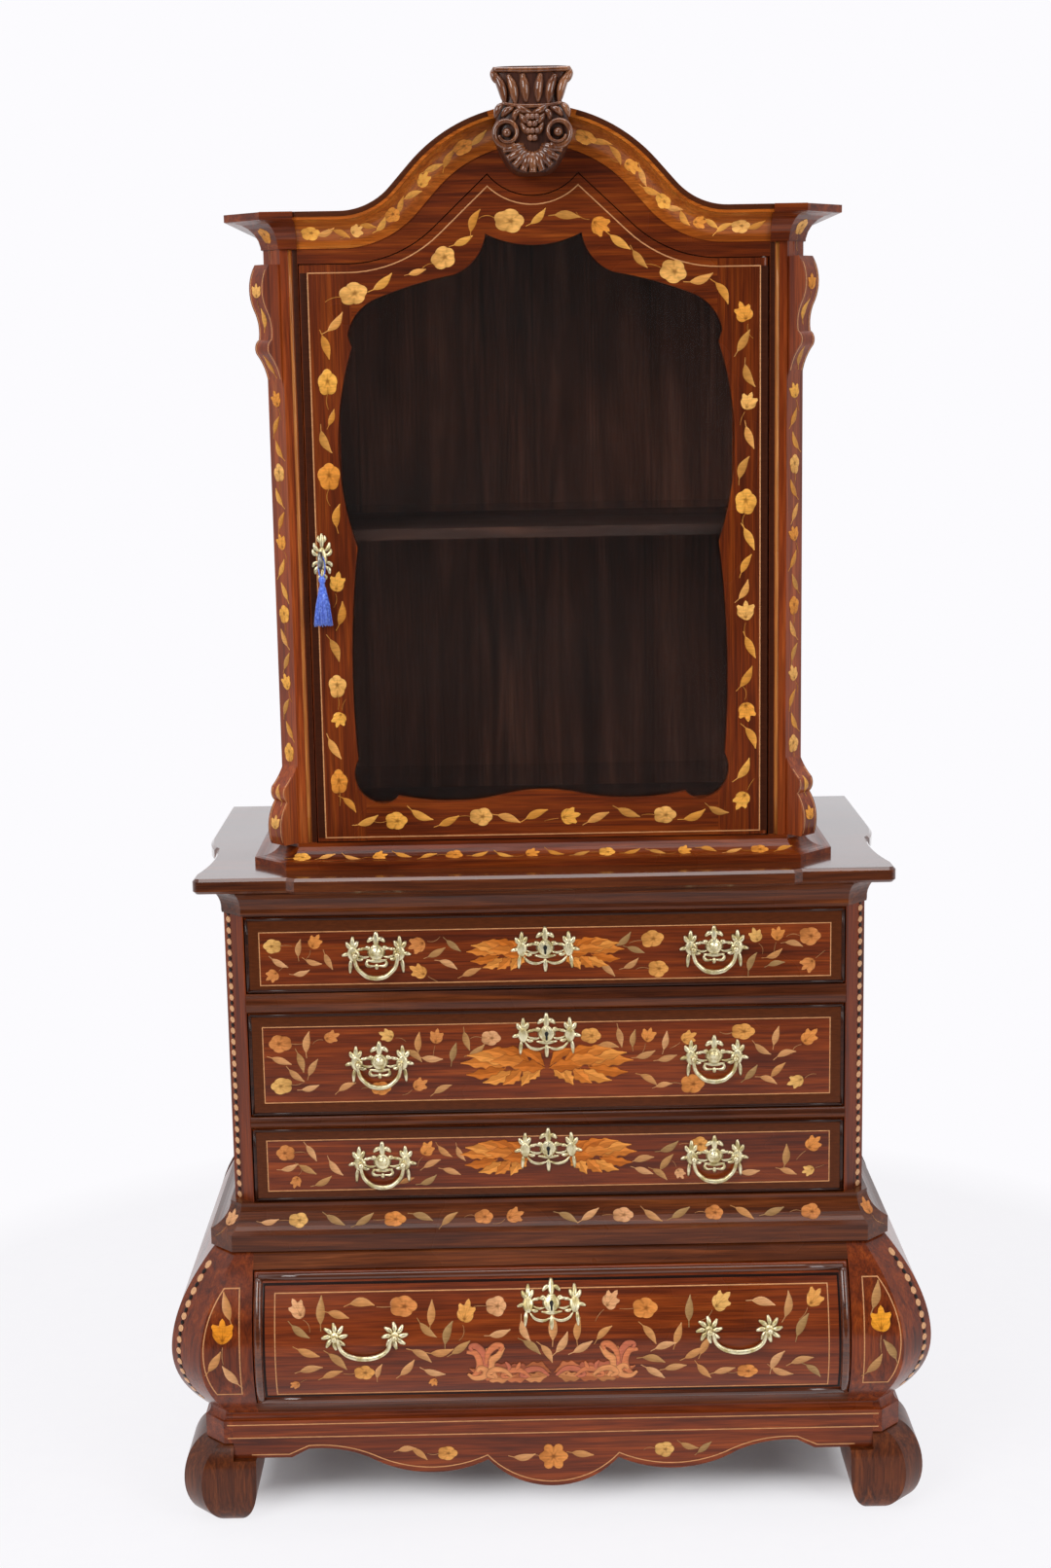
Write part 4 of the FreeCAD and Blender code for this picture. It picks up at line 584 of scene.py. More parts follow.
# %% The inlayer's flowers
def flower_outline(kind, angle, wild):
    """A flower's radius, as a share of its size, at each angle from its tip. wild makes no two alike."""
    if kind == "oval":
        return 0.5 + 0 * angle * wild[0]
    if kind == "daisy":
        return 0.34 + 0.17 * np.abs(np.cos(3 * angle)) ** 0.8 + 0 * wild[0]
    uneven = 0.03 * wild[1] * np.cos(2 * angle) + 0.03 * wild[2] * np.cos(3 * angle + wild[3])
    if kind == "rose":
        return 0.42 + 0.08 * np.abs(np.cos(2.5 * angle + 0.5 * wild[0])) ** 0.8 + uneven
    return 0.37 + 0.08 * np.cos(angle) + 0.11 * np.exp(-(angle / 1.25) ** 6) * np.cos(7 * angle) + uneven


def blossoms(kind, rows, tones, stretch=1.0, rise=0.15):
    """Flowers, one for each row (x, z, size, angle): a point at angle a and share v of the way out lies
    at v times the outline, and the eye is moved towards the tip or the foot. Petal joints, the eye and
    one side are scorched darker. The kind oval is a plain pellet."""
    x, z, size, angle = (np.asarray(column, float)[:, None, None] for column in zip(*rows))
    wild = chance.uniform(-1, 1, (5, len(rows), 1, 1))
    plain = kind == "oval"
    v = np.array([1, 0.5] if plain else [1, 0.84, 0.66, 0.5, 0.36, 0.22, 0.1])[None, :, None]
    around = np.linspace(-math.pi, math.pi, 12 if plain else 32, endpoint=False)[None, None, :]
    reach = size * v * flower_outline(kind, around, wild)
    eye_at = size * (1 - v) * {"rose": 0.07, "tulip": -0.2}.get(kind, 0)
    tilt = np.radians(angle)
    along = stretch * reach * np.cos(around) + eye_at
    across = reach * np.sin(around) * {"rose": 0.78, "tulip": 0.9}.get(kind, 1)
    points = np.stack([x + along * np.cos(tilt) - across * np.sin(tilt),
                       z + along * np.sin(tilt) + across * np.cos(tilt)], -1)
    petals = {"rose": 2.5, "daisy": 3, "tulip": 3.5}.get(kind, 1)
    joint = (1 - np.abs(np.cos(petals * around + 0.5 * wild[0] * (kind == "rose")))) ** 3 * (v > 0.4)
    inner = (1 - np.abs(np.sin(petals * around))) ** 2 * (v < 0.6) * (v > 0.15)
    side = np.clip(-np.cos(around - 0.9 * wild[4]), 0, 1) * v
    scorch = 1.06 - 0.34 * joint - 0.22 * inner - 0.85 * np.exp(-(v / 0.2) ** 2) - 0.36 * side
    scorch = np.where(plain, 1.0, np.clip(scorch, 0.1, 1.1))
    tint = np.array([1.0, 0.93, 0.84]) ** (3 * (1 - scorch[..., None]))
    colours = tones[:, None, None] * (scorch[..., None] * tint + 0 * reach[..., None])
    rings, columns = points.shape[1:3]
    quads = np.concatenate([quads_of(rings, columns, True), lid_of(columns) + (rings - 1) * columns])
    order = rise + 0.006 * np.arange(len(rows))[:, None, None]
    return flattened(points, colours, order, quads)


# %% [markdown]
# ## Sprays
# The inlayer kept packets of sawn leaves and petals in a few woods and set them out by eye. A spray is
# such a setting: rows that say what lies where, each in a tone that chance picks from the packet. The
# door's woods are more golden than those of the drawers.


# %% Sprays
def tones_of(codes):
    """Linear colours from hex codes in one line."""
    return np.array([linear(code) for code in codes.split()])


DRAWER_LEAVES = tones_of("#dca06c #d3965e #cf9866 #c08f5c #e0a878 #b08a5c")
DRAWER_FLOWERS = tones_of("#dd9a50 #d98a45 #dba070 #e0ab62 #cf8448")


def stems(rows, tone):
    """A thin stem behind each flower of rows (x, z, size, angle), bent a little to either side."""
    behind = []
    for x, z, size, angle in rows:
        turn = math.radians(angle)
        foot = (x - 0.7 * size * math.cos(turn), z - 0.7 * size * math.sin(turn))
        behind.append((*foot, 0.6 * size, angle, chance.uniform(-0.2, 0.2)))
    return blades(behind, np.tile(tone, (len(rows), 1)), slim=0.025, stalk=0, rise=0)


def spray(rows, flowers=DRAWER_FLOWERS, leaves=DRAWER_LEAVES):
    """A whole design from rows of (kind, x, z, size, angle), kind being l, r, t or d for leaf, rose,
    tulip and daisy. Each flower also gets a thin stem behind it."""
    made = []
    found = [(*row[1:], chance.uniform(-0.1, 0.1)) for row in rows if row[0] == "l"]
    if found:
        made.append(blades(found, leaves[chance.integers(0, len(leaves), len(found))]))
    for kind, word in (("r", "rose"), ("t", "tulip"), ("d", "daisy")):
        found = [row[1:] for row in rows if row[0] == kind]
        if found:
            made.append(blossoms(word, found, flowers[chance.integers(0, len(flowers), len(found))]))
            made.append(stems(found, leaves[2] * 0.8))
    return made


# %% [markdown]
# ## Strings and bands
# A string is a strip of boxwood barely 1.5 mm wide, bent into a groove, with its corners mitred. A
# crossband is a broader border of dark veneer. Real inlay lies flush in the wood. Here each veneer is a
# thin sheet whose face stands a third of a millimetre proud, so that it never fights with its board.

# %% Strings, bands and laying
STRING_TONE, BAND_TONE = linear("#cb9060"), linear("#552810")
PROUD, VENEER = 0.35, 0.6


def string(line, width=1.5, closed=False, tone=STRING_TONE):
    """A boxwood string: a strip along a line, each edge half its width off, with mitred corners."""
    line = np.asarray(line, float)
    step = (np.roll(line, -1, 0) if closed else np.vstack([line[1:], 2 * line[-1] - line[-2]])) - line
    side = np.column_stack([-step[:, 1], step[:, 0]]) / np.linalg.norm(step, axis=1, keepdims=True)
    before = np.roll(side, 1, 0) if closed else np.vstack([side[:1], side[:-1]])
    mitre = (side + before) / (1 + (side * before).sum(1, keepdims=True))
    points = np.concatenate([line - mitre * width / 2, line + mitre * width / 2])
    design = np.column_stack([points, np.zeros(len(points))])
    return design, quads_of(2, len(line), closed), np.tile(tone, (len(points), 1))


def frame_string(half, low, high, width=1.5, middle=0):
    """A string round an upright rectangle."""
    corners = [(middle - half, low), (middle + half, low), (middle + half, high), (middle - half, high)]
    return string(stepped(corners, 6, True), width, True)


def crossband(outer, inner):
    """A dark band of veneer between two upright rectangles (half, low, high), mitred at its corners: the
    same share of the way round on both gives each pair of points."""
    way = np.linspace(0, 4, 120, endpoint=False)
    rings = [np.column_stack([np.interp(way, range(5), (-half, half, half, -half, -half)),
                              np.interp(way, range(5), (low, low, high, high, low)), 0 * way])
             for half, low, high in (outer, inner)]
    return np.concatenate(rings), quads_of(2, len(way), True), np.tile(BAND_TONE, (2 * len(way), 1))


def inlay(name, designs, lay, body):
    """Lays designs over their face as one sheet of thin veneers."""
    sheets = [(lay(design, PROUD + design[:, 2]), quads, colours) for design, quads, colours in designs]
    made = piece(name, sheets, inlay_veneer, body, thick=VENEER)
    return made


# %% [markdown]
# ## Leafage in the middle of the drawers
# Under each keyhole two sprays of orange leafage face each other. On the upper drawers a spray is a fan of
# lobed leaves of one warm wood: the lobes come from waving a leaf's breadth, and dark edges part the
# leaves. Each leaf is drawn in shares of the spray's width, so that one drawing serves all sizes.

# %% Fans of leaves
ORANGE_LEAVES = tones_of("#e2883a #ee9c4a #d0742a")
FAN = [  # foot along and up, length, angle, bend, half breadth, in shares of the spray's width
    (0.46, 0.25, 0.50, 6, 0.05, 0.16), (0.40, 0.28, 0.50, 15, 0.06, 0.16),
    (0.46, 0.21, 0.44, -9, -0.05, 0.17), (0.28, 0.29, 0.46, 23, 0.10, 0.18),
    (0.36, 0.18, 0.38, -24, -0.06, 0.20), (0.16, 0.27, 0.42, 32, 0.12, 0.20),
    (0.26, 0.20, 0.30, -44, -0.05, 0.27), (0.14, 0.20, 0.26, -62, 0.00, 0.30),
    (0.00, 0.26, 0.36, 38, 0.12, 0.20), (0.16, 0.24, 0.46, 10, 0.08, 0.19),
    (0.04, 0.20, 0.20, -48, 0.00, 0.30), (0.00, 0.22, 0.36, 2, 0.05, 0.22)]


def leafage(x, z, width, flat, hand, fan, tones):
    """Overlapping lobed leaves that spread from near the middle line outwards; hand -1 mirrors them."""
    made = []
    for k, (a, b, share, angle, bend, slim) in enumerate(fan):
        run, climb = math.cos(math.radians(angle)), flat * math.sin(math.radians(angle))
        tilt, length = math.atan2(climb, run), width * share * math.hypot(run, climb)
        row = (x + hand * (width * a + length / 2 * math.cos(tilt)),
               z + flat * width * b + length / 2 * math.sin(tilt), length,
               math.degrees(tilt) if hand > 0 else 180 - math.degrees(tilt), hand * bend)
        made.append(blades([row], tones[[k % len(tones)]], 3, slim * math.sqrt(flat), 0.05, 0.3 + 0.03 * k))
    return made


# %% [markdown]
# On the lowest drawer the leafage is rosier and turns into a scroll: a row of leaves along its foot, and
# bands over it that climb and curl at the outer end. A band is a strip along a smooth line, like a string
# that swells in its middle.

# %% Curling bands
ROSY_LEAVES = tones_of("#c8744a #d58c58 #ba664a")
SCROLL = [  # the row of leaves along its foot, as in the fan
    (0.00, 0.10, 0.34, 10, 0.10, 0.24), (0.02, 0.06, 0.34, -6, -0.06, 0.22),
    (0.22, 0.11, 0.34, 6, 0.06, 0.22), (0.24, 0.05, 0.36, -3, -0.05, 0.20),
    (0.44, 0.05, 0.40, 0, -0.05, 0.20), (0.42, 0.11, 0.36, 8, 0.06, 0.22),
    (0.60, 0.07, 0.38, 14, -0.08, 0.22), (0.76, 0.05, 0.36, 90, 0.00, 0.22)]
TENDRILS = [  # its curls, in the same shares: half breadth, then the points of a line
    (0.050, (0.96, 0.03), (0.87, 0.12), (0.84, 0.24), (0.89, 0.35), (1.00, 0.37)),
    (0.050, (0.64, 0.03), (0.70, 0.13), (0.70, 0.25), (0.62, 0.32), (0.55, 0.42)),
    (0.045, (0.79, 0.06), (0.77, 0.20), (0.79, 0.33), (0.87, 0.43), (0.95, 0.43), (0.94, 0.38)),
    (0.045, (0.77, 0.22), (0.74, 0.35), (0.66, 0.43), (0.58, 0.43), (0.60, 0.37)),
    (0.045, (0.99, 0.09), (0.91, 0.03), (0.80, 0.05), (0.77, 0.13), (0.84, 0.17), (0.88, 0.12)),
    (0.042, (0.01, 0.05), (0.12, 0.14), (0.26, 0.13), (0.34, 0.06), (0.27, 0.03)),
    (0.042, (0.24, 0.04), (0.36, 0.13), (0.50, 0.12), (0.57, 0.05), (0.50, 0.03)),
    (0.042, (0.46, 0.05), (0.56, 0.13), (0.68, 0.14), (0.74, 0.07), (0.67, 0.03)),
    (0.026, (0.50, 0.13), (0.49, 0.18), (0.53, 0.24)), (0.026, (0.41, 0.13), (0.38, 0.18), (0.36, 0.23))]


def tendrils(x, z, width, flat, hand, tones):
    """Curling bands over the leaves: along each smooth line the half breadth is its share of the width
    times (0.4 + 0.6 sin(pi t)), and dark edges part one band from the next."""
    made = []
    t = np.linspace(0, 1, 25)[:, None]
    v = np.array([1, 0.7, 0, -0.7, -1])
    for k, (share, *points) in enumerate(TENDRILS):
        line = line_through(points, 25) * (hand * width, flat * width) + (x, z)
        step = np.gradient(line, axis=0)
        side = np.column_stack([-step[:, 1], step[:, 0]]) / np.linalg.norm(step, axis=1, keepdims=True)
        half = width * share * (0.4 + 0.6 * np.sin(math.pi * t)) * v
        band = (line[:, None] + half[..., None] * side[:, None])[None]
        scorch = 1.1 - 0.62 * (np.abs(v) == 1) - 0.16 * (v < 0) + 0 * half
        colours = tones[k % len(tones)] * scorch[..., None]
        made.append(flattened(band, colours, 0.7 + 0.03 * k, quads_of(25, 5)))
    return made


# %% [markdown]
# ## Drawer fronts
# Flowers and leaves are strewn round the handles of each front, and clear of the leafage. The two halves
# only nearly mirror each other, as they were set out by hand. Scattering them by chance would let them
# overlap, so rows say what lies where: the kind, the place in mm, the size and the angle.

# %% Flowers on the drawers
DRAWER_SPRAYS = {
    1: [("r", -387, 856, 27, 180), ("t", -387, 814, 25, 215), ("t", -328, 859, 27, 60),
        ("l", -349, 853, 26, 80), ("l", -377, 831, 26, -30), ("l", -347, 817, 24, 15),
        ("l", -329, 832, 24, -15), ("l", -308, 832, 26, -65), ("t", -179, 855, 32, 200),
        ("t", -178, 814, 30, 150), ("l", -154, 843, 28, 28), ("l", -130, 852, 26, -40),
        ("l", -138, 824, 28, -28), ("l", -105, 813, 29, 22), ("l", 112, 858, 28, 45),
        ("l", 129, 841, 26, -20), ("l", 122, 822, 26, 35), ("l", 89, 813, 28, -45),
        ("r", 152, 857, 33, 10), ("r", 160, 813, 31, 0), ("t", 300, 857, 26, 110),
        ("t", 330, 859, 26, 80), ("r", 376, 857, 33, 0), ("l", 354, 845, 26, -15),
        ("l", 326, 833, 26, 30), ("l", 329, 817, 24, 10), ("l", 295, 821, 29, 65),
        ("t", 376, 817, 29, 220)],
    2: [("r", -381, 712, 34, 180), ("l", -342, 714, 32, 80), ("t", -310, 720, 26, 20),
        ("l", -380, 686, 30, -20), ("l", -353, 683, 30, -75), ("l", -335, 676, 28, 60),
        ("l", -359, 664, 28, -40), ("l", -340, 646, 26, 15), ("r", -381, 649, 32, 190),
        ("t", -226, 721, 26, 160), ("l", -183, 711, 30, 85), ("t", -158, 716, 27, 80),
        ("l", -190, 690, 28, -40), ("l", -164, 686, 30, -5), ("l", -133, 695, 29, 75),
        ("l", -114, 711, 29, -75), ("l", -100, 698, 28, 35), ("r", -80, 715, 29, 0),
        ("l", -287, 646, 28, 25), ("r", -239, 643, 28, 0), ("t", -185, 646, 27, 30),
        ("l", -150, 640, 28, 25), ("r", 63, 716, 30, 0), ("l", 89, 700, 29, -8), ("l", 105, 712, 29, -80),
        ("l", 125, 711, 26, 80), ("t", 145, 713, 27, 70), ("l", 142, 687, 29, 20),
        ("l", 170, 707, 28, 80), ("l", 173, 681, 28, 15), ("l", 146, 648, 29, -35),
        ("l", 168, 640, 24, 10), ("t", 201, 709, 28, 30), ("r", 208, 641, 36, 0), ("r", 281, 718, 33, 0),
        ("l", 329, 711, 29, 75), ("l", 310, 691, 28, -35), ("l", 344, 683, 28, 15),
        ("l", 293, 657, 28, 50), ("l", 332, 660, 29, 45), ("l", 318, 644, 27, -25),
        ("t", 374, 706, 32, 45), ("t", 360, 643, 28, 200)],
    3: [("r", -379, 548, 29, 180), ("l", -342, 547, 28, -60), ("l", -374, 527, 26, 20),
        ("l", -348, 522, 28, -30), ("l", -307, 524, 30, -50), ("l", -326, 505, 28, 30),
        ("t", -365, 506, 22, 250), ("t", -176, 548, 28, 60), ("l", -149, 546, 26, -40),
        ("l", -126, 542, 25, -60), ("l", -168, 528, 27, 25), ("l", -140, 515, 27, -20),
        ("l", -174, 504, 27, 30), ("l", -205, 503, 22, 20), ("l", 138, 529, 30, 10),
        ("l", 175, 548, 30, 30), ("l", 171, 524, 30, 50), ("l", 138, 511, 28, -20),
        ("l", 161, 505, 27, -40), ("t", 189, 508, 21, 300), ("r", 218, 550, 29, 0),
        ("l", 292, 507, 28, 5), ("l", 343, 532, 32, 85), ("l", 347, 506, 26, -20),
        ("t", 381, 546, 31, 45), ("t", 378, 508, 22, 200)],
    4: [("t", -361, 339, 32, 120), ("l", -329, 340, 37, 88), ("l", -304, 333, 31, -15),
        ("l", -270, 346, 35, -4), ("r", -212, 343, 38, 0), ("l", -358, 312, 31, -35),
        ("l", -347, 282, 33, -20), ("l", -344, 257, 33, 10), ("l", -306, 268, 35, -45),
        ("l", -314, 248, 31, 20), ("r", -269, 250, 30, 0), ("l", -247, 252, 24, 70),
        ("t", -367, 232, 18, 210), ("t", -123, 331, 36, 75), ("r", -79, 341, 32, 0),
        ("l", -172, 334, 34, 85), ("l", -176, 311, 31, -40), ("l", -147, 307, 34, 70),
        ("l", -130, 286, 32, 35), ("l", -157, 281, 33, 10), ("l", -186, 274, 33, -35),
        ("l", -207, 257, 32, 50), ("l", -168, 249, 31, -15), ("t", -170, 233, 17, 250),
        ("l", 1, 313, 38, 90), ("l", -37, 307, 32, -65), ("l", 14, 291, 34, 60), ("l", -29, 284, 32, -40),
        ("l", 44, 284, 32, 30), ("l", -8, 274, 31, -60), ("l", 38, 309, 32, 80), ("l", 75, 303, 29, 40),
        ("l", -74, 306, 31, 15), ("t", 83, 344, 32, 50), ("r", 133, 335, 36, 0), ("l", 139, 299, 32, -55),
        ("l", 162, 283, 31, 15), ("l", 180, 300, 32, 72), ("l", 197, 334, 34, 85),
        ("t", 240, 340, 35, 40), ("l", 219, 283, 31, 60), ("l", 145, 262, 33, -15),
        ("l", 147, 241, 33, -35), ("l", 176, 250, 32, 10), ("l", 203, 272, 32, 30),
        ("l", 217, 242, 31, -50), ("l", 246, 243, 31, 15), ("r", 278, 241, 30, 0),
        ("l", 322, 258, 34, 55), ("l", 303, 339, 34, -12), ("l", 336, 337, 34, 80),
        ("t", 374, 342, 33, 50), ("l", 358, 309, 35, 60), ("l", 329, 240, 33, -20),
        ("l", 357, 257, 33, 15), ("l", 373, 239, 30, -45)],
}
print("motifs:", {n: len(rows) for n, rows in DRAWER_SPRAYS.items()})

# %% [markdown]
# A fine string is set in from the edge of each front. The three upper fronts are flat, with a dark
# crossband outside the string. The lowest one swells and stands 3 mm proud, so its design is laid over
# the swell.

# %% Inlay on the drawers
LOWEST = 4
FRONTS = {1: on_face(0, 0), 2: on_face(0, 0), 3: on_face(0, 0), LOWEST: on_swell(3)}
LEAFAGE = {1: (26, 817, 90, 0.95), 2: (5, 646, 124, 0.86), 3: (28, 511, 104, 0.95), 4: (4, 234, 118, 1.04)}
STRINGS = {1: (406, 798.6, 876), 2: (406, 623.8, 736.5), 3: (406, 490.6, 566.8), 4: (395, 214, 362)}
BAND_EDGE, STRING_EDGE = 4, 0.7
for n, rows in DRAWER_SPRAYS.items():
    x, z, width, flat = LEAFAGE[n]
    half, low, high = STRINGS[n]
    designs = [frame_string(half, low, high)] + spray(rows)
    if n != LOWEST:
        front_low, front_high = (np.array(corner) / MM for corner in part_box(f"drawer_{n}_front"))
        outer = (front_high[0] - BAND_EDGE, front_low[2] + BAND_EDGE, front_high[2] - BAND_EDGE)
        designs.append(crossband(outer, (half + STRING_EDGE, low - STRING_EDGE, high + STRING_EDGE)))
    leaf_set = (SCROLL, ROSY_LEAVES) if n == LOWEST else (FAN, ORANGE_LEAVES)
    for hand in (-1, 1):
        designs += leafage(hand * x, z, width, flat, hand, *leaf_set)
    if n == LOWEST:
        for hand in (-1, 1):
            designs += tendrils(hand * x, z, width, flat, hand, ROSY_LEAVES)
    inlay(f"drawer_{n}_inlay", designs, FRONTS[n], f"drawer_{n}")

# %% [markdown]
# ## The door
# A trail of flowers and leaves climbs both stiles, crosses the bottom rail and follows the arched top
# rail round the glass. It is set out one motif at a time, because the frame of the glass swells and
# narrows, and the trail sways with it.

# %% The trail round the glass
DOOR_TRAIL = [  # kind, place, size and angle, from the arch round the stiles to the foot
    ("r", -249, 1762, 40, 15), ("l", -208, 1778, 34, 40), ("l", -160, 1790, 25, 15),
    ("r", -124, 1808, 37, 30), ("l", -96, 1831, 29, 25), ("l", -79, 1857, 33, 65),
    ("r", -33, 1856, 42, -5), ("l", 7, 1862, 29, 45), ("l", 47, 1861, 35, -6), ("t", 89, 1849, 35, -30),
    ("l", 119, 1825, 34, -35), ("l", 146, 1802, 31, -50), ("r", 191, 1785, 40, -15),
    ("l", 230, 1776, 34, 20), ("l", 258, 1754, 34, -60), ("l", -275, 1725, 33, 50),
    ("l", -289, 1690, 34, -75), ("r", -288, 1642, 36, 90), ("l", -284, 1595, 24, 70),
    ("l", -292, 1561, 34, -65), ("r", -290, 1513, 40, 90), ("l", -279, 1459, 33, 80),
    ("t", 289, 1725, 34, 110), ("l", 288, 1690, 34, 60), ("l", 297, 1642, 34, -65),
    ("t", 294, 1604, 31, 70), ("l", 297, 1557, 33, -70), ("l", 289, 1516, 34, 65),
    ("r", 291, 1468, 38, 90), ("l", 296, 1416, 34, -65), ("l", 292, 1382, 30, 60),
    ("t", -284, 1362, 32, 80), ("l", -280, 1322, 34, 80), ("l", -290, 1269, 34, -70),
    ("r", -288, 1218, 33, 90), ("t", -286, 1173, 28, 250), ("l", -294, 1128, 34, -60),
    ("r", -290, 1080, 34, 90), ("l", -276, 1046, 28, -50), ("l", -250, 1024, 32, 25),
    ("r", -210, 1022, 33, 0), ("l", -172, 1030, 34, -25), ("l", -134, 1021, 32, 25),
    ("r", -88, 1026, 34, 0), ("l", -48, 1022, 34, -20), ("l", -8, 1028, 34, 22), ("t", 36, 1024, 34, 10),
    ("l", 80, 1022, 34, 24), ("l", 124, 1028, 34, -22), ("r", 175, 1024, 33, 0), ("l", 218, 1024, 34, 25),
    ("l", 253, 1030, 30, -18), ("l", 288, 1346, 30, 65), ("t", 291, 1312, 34, 90),
    ("l", 298, 1263, 34, -65), ("l", 292, 1222, 34, 60), ("t", 292, 1175, 34, 280),
    ("l", 298, 1133, 34, -65), ("l", 288, 1090, 34, 60), ("t", 287, 1046, 33, 240)]
DOOR_LEAVES = tones_of("#f0ae54 #e6a048 #da9440 #ecaa5e #cf934a")
DOOR_FLOWERS = tones_of("#f0ac4c #e89c40 #e0903a #edb060")
print("motifs on the door:", len(DOOR_TRAIL))

# %% [markdown]
# Outside the trail runs a string that repeats the door's own outline: up the sides, round a hollow, up to
# a sharp peak, and down in a lunette between the two peaks. A dark band of painted shade on each stile's
# outer edge, and one beside it on the post, make the gap between door and post look deep.

# %% Inlay on the door
CABINET_DEPTH = 62
cabinet_front = on_face(0, CABINET_DEPTH)
STRING_HALF, STRING_FOOT, SHOULDER = 311, 999, 1790.5
PEAK, LEAN, HOLLOW_RADIUS = (62, 1902.5), math.radians(43), 185
meet = PEAK[0] + (PEAK[1] - SHOULDER) / math.tan(LEAN)
foot = HOLLOW_RADIUS * math.tan(LEAN / 2)
hollow = arc_through((meet + foot, SHOULDER),
                     (meet + foot - HOLLOW_RADIUS * math.sin(LEAN / 2),
                      SHOULDER + HOLLOW_RADIUS * (1 - math.cos(LEAN / 2))),
                     (meet - foot * math.cos(LEAN), SHOULDER + foot * math.sin(LEAN)))
arm = np.concatenate([[(STRING_HALF, 1010), (STRING_HALF, SHOULDER)], hollow, [PEAK]])
lunette = arc_through(PEAK, (0, 1877.5), (-PEAK[0], PEAK[1]), 16)[1:-1]
sill = [(-STRING_HALF, STRING_FOOT), (STRING_HALF, STRING_FOOT)]
outline = np.concatenate([sill, arm, lunette, arm[::-1] * (-1, 1)])
PAINTED_GAP_SHADE = linear("#3c1a0c")


def gap_shade_bands(aside, low, high, width):
    """A dark upright band of painted shade at the same distance to the left and the right of the middle."""
    return [string(stepped([(x, low), (x, high)], 60), width, tone=PAINTED_GAP_SHADE) for x in (-aside, aside)]


door_designs = spray(DOOR_TRAIL, DOOR_FLOWERS, DOOR_LEAVES) + [string(outline, 1.7, True)]
door_designs += gap_shade_bands(316.8, STRING_FOOT, SHOULDER, 9.2)
inlay("door_inlay", door_designs, cabinet_front, "door")
POST_FOOT, POST_HEAD = 993, 1822
inlay("post_painted_gap_shade", gap_shade_bands(327.6, POST_FOOT, POST_HEAD, 6.5), cabinet_front, "carcase")

# %% [markdown]
# ## A trail over the arch
# A simpler trail, a flower and two leaves over and over, follows the hollow of the cornice. The arch line
# is found by adding up short steps: its slope turns from level at the crown to 48 degrees, stays, and
# turns back to level. Above the hollow the cornice ends in an upright fillet with a dark band.


# %% Inlay on the cornice
def trail(first, last, pitch, size, lane=0.0, upright=False, wave=1.0):
    """Rows of a repeating trail: a flower, then two leaves that lean opposite ways."""
    count = max(3, int(abs(last - first) / pitch))
    rows = []
    for i, at in enumerate(np.linspace(first, last, count)):
        kind = ("r", "l", "l", "t", "l", "l")[i % 6]
        lean = (0, 28, -28, 20, -28, 28)[i % 6] * wave
        side = lane + (0, 2, -2)[i % 3] * wave
        rows.append((kind, side, at, size, 90 + lean) if upright else (kind, at, side, size, lean))
    return rows


CROWN_Z, CROWN, HOLLOW, RUN, FLAT, SLOPE = 1957.46, 176.54, 140, 40, 62, math.radians(48)
FILLET_OUT = 50
knots = np.cumsum([0, CROWN * SLOPE, RUN, HOLLOW * SLOPE, FLAT])
arch_steps = np.linspace(0, knots[-1], 3000)
arch_slope = np.interp(arch_steps, knots, [0, SLOPE, SLOPE, 0, 0])
arch_x = np.cumsum(np.cos(arch_slope)) * arch_steps[1]
arch_z = CROWN_Z - np.cumsum(np.sin(arch_slope)) * arch_steps[1]


def over_arch(along, height, depth):
    """Points at distances along the arch from its crown, and at heights square to the arch line."""
    way = np.abs(along)
    slope = np.interp(way, arch_steps, arch_slope)
    x = np.interp(way, arch_steps, arch_x) + height * np.sin(slope)
    z = np.interp(way, arch_steps, arch_z) + height * np.cos(slope)
    return np.column_stack([np.sign(along) * x, depth, z])


def on_arch(design, off):
    """The cornice's hollow over the arch: along the arch from its crown, and across from the low edge."""
    height, out = hollow_profile(design[:, 1], off, (3, 3), (36, 47), 11)
    return over_arch(design[:, 0], height, CABINET_DEPTH - out)


def on_arch_edge(design, off):
    """The upright front of the cornice's top fillet, along the same arch."""
    return over_arch(design[:, 0], design[:, 1], CABINET_DEPTH - FILLET_OUT - off)


arch_end, crest_side = knots[-1] - 20, 66  # where the trail ends, and where the crest begins
arch_trail = trail(crest_side, arch_end, 19, 27, 17) + trail(-arch_end, -crest_side, 19, 27, 17)
# The cornice's veneers are painted lighter than the door's, 1.35 and 1.3 times, to make up for the shade in
# the hollow, which faces down.
inlay("cornice_inlay", spray(arch_trail, 1.35 * DOOR_FLOWERS, 1.3 * DOOR_LEAVES), on_arch, "carcase")
dark_edges = [string(stepped([(a, 43.4), (b, 43.4)], 6), 6.8, tone=linear("#4a220e"))
              for a, b in ((-knots[-1], -48), (48, knots[-1]))]
inlay("cornice_dark_edge", dark_edges, on_arch_edge, "carcase")

# %% [markdown]
# ## Waist, plinth and canted corners
# The hollow at the waist and the cabinet's plinth carry trails too, and so do the canted corners. Down
# each corner of the chest runs a row of pale pellets with dark ones between them. The right corner is the
# left one turned over, so one loop makes both.

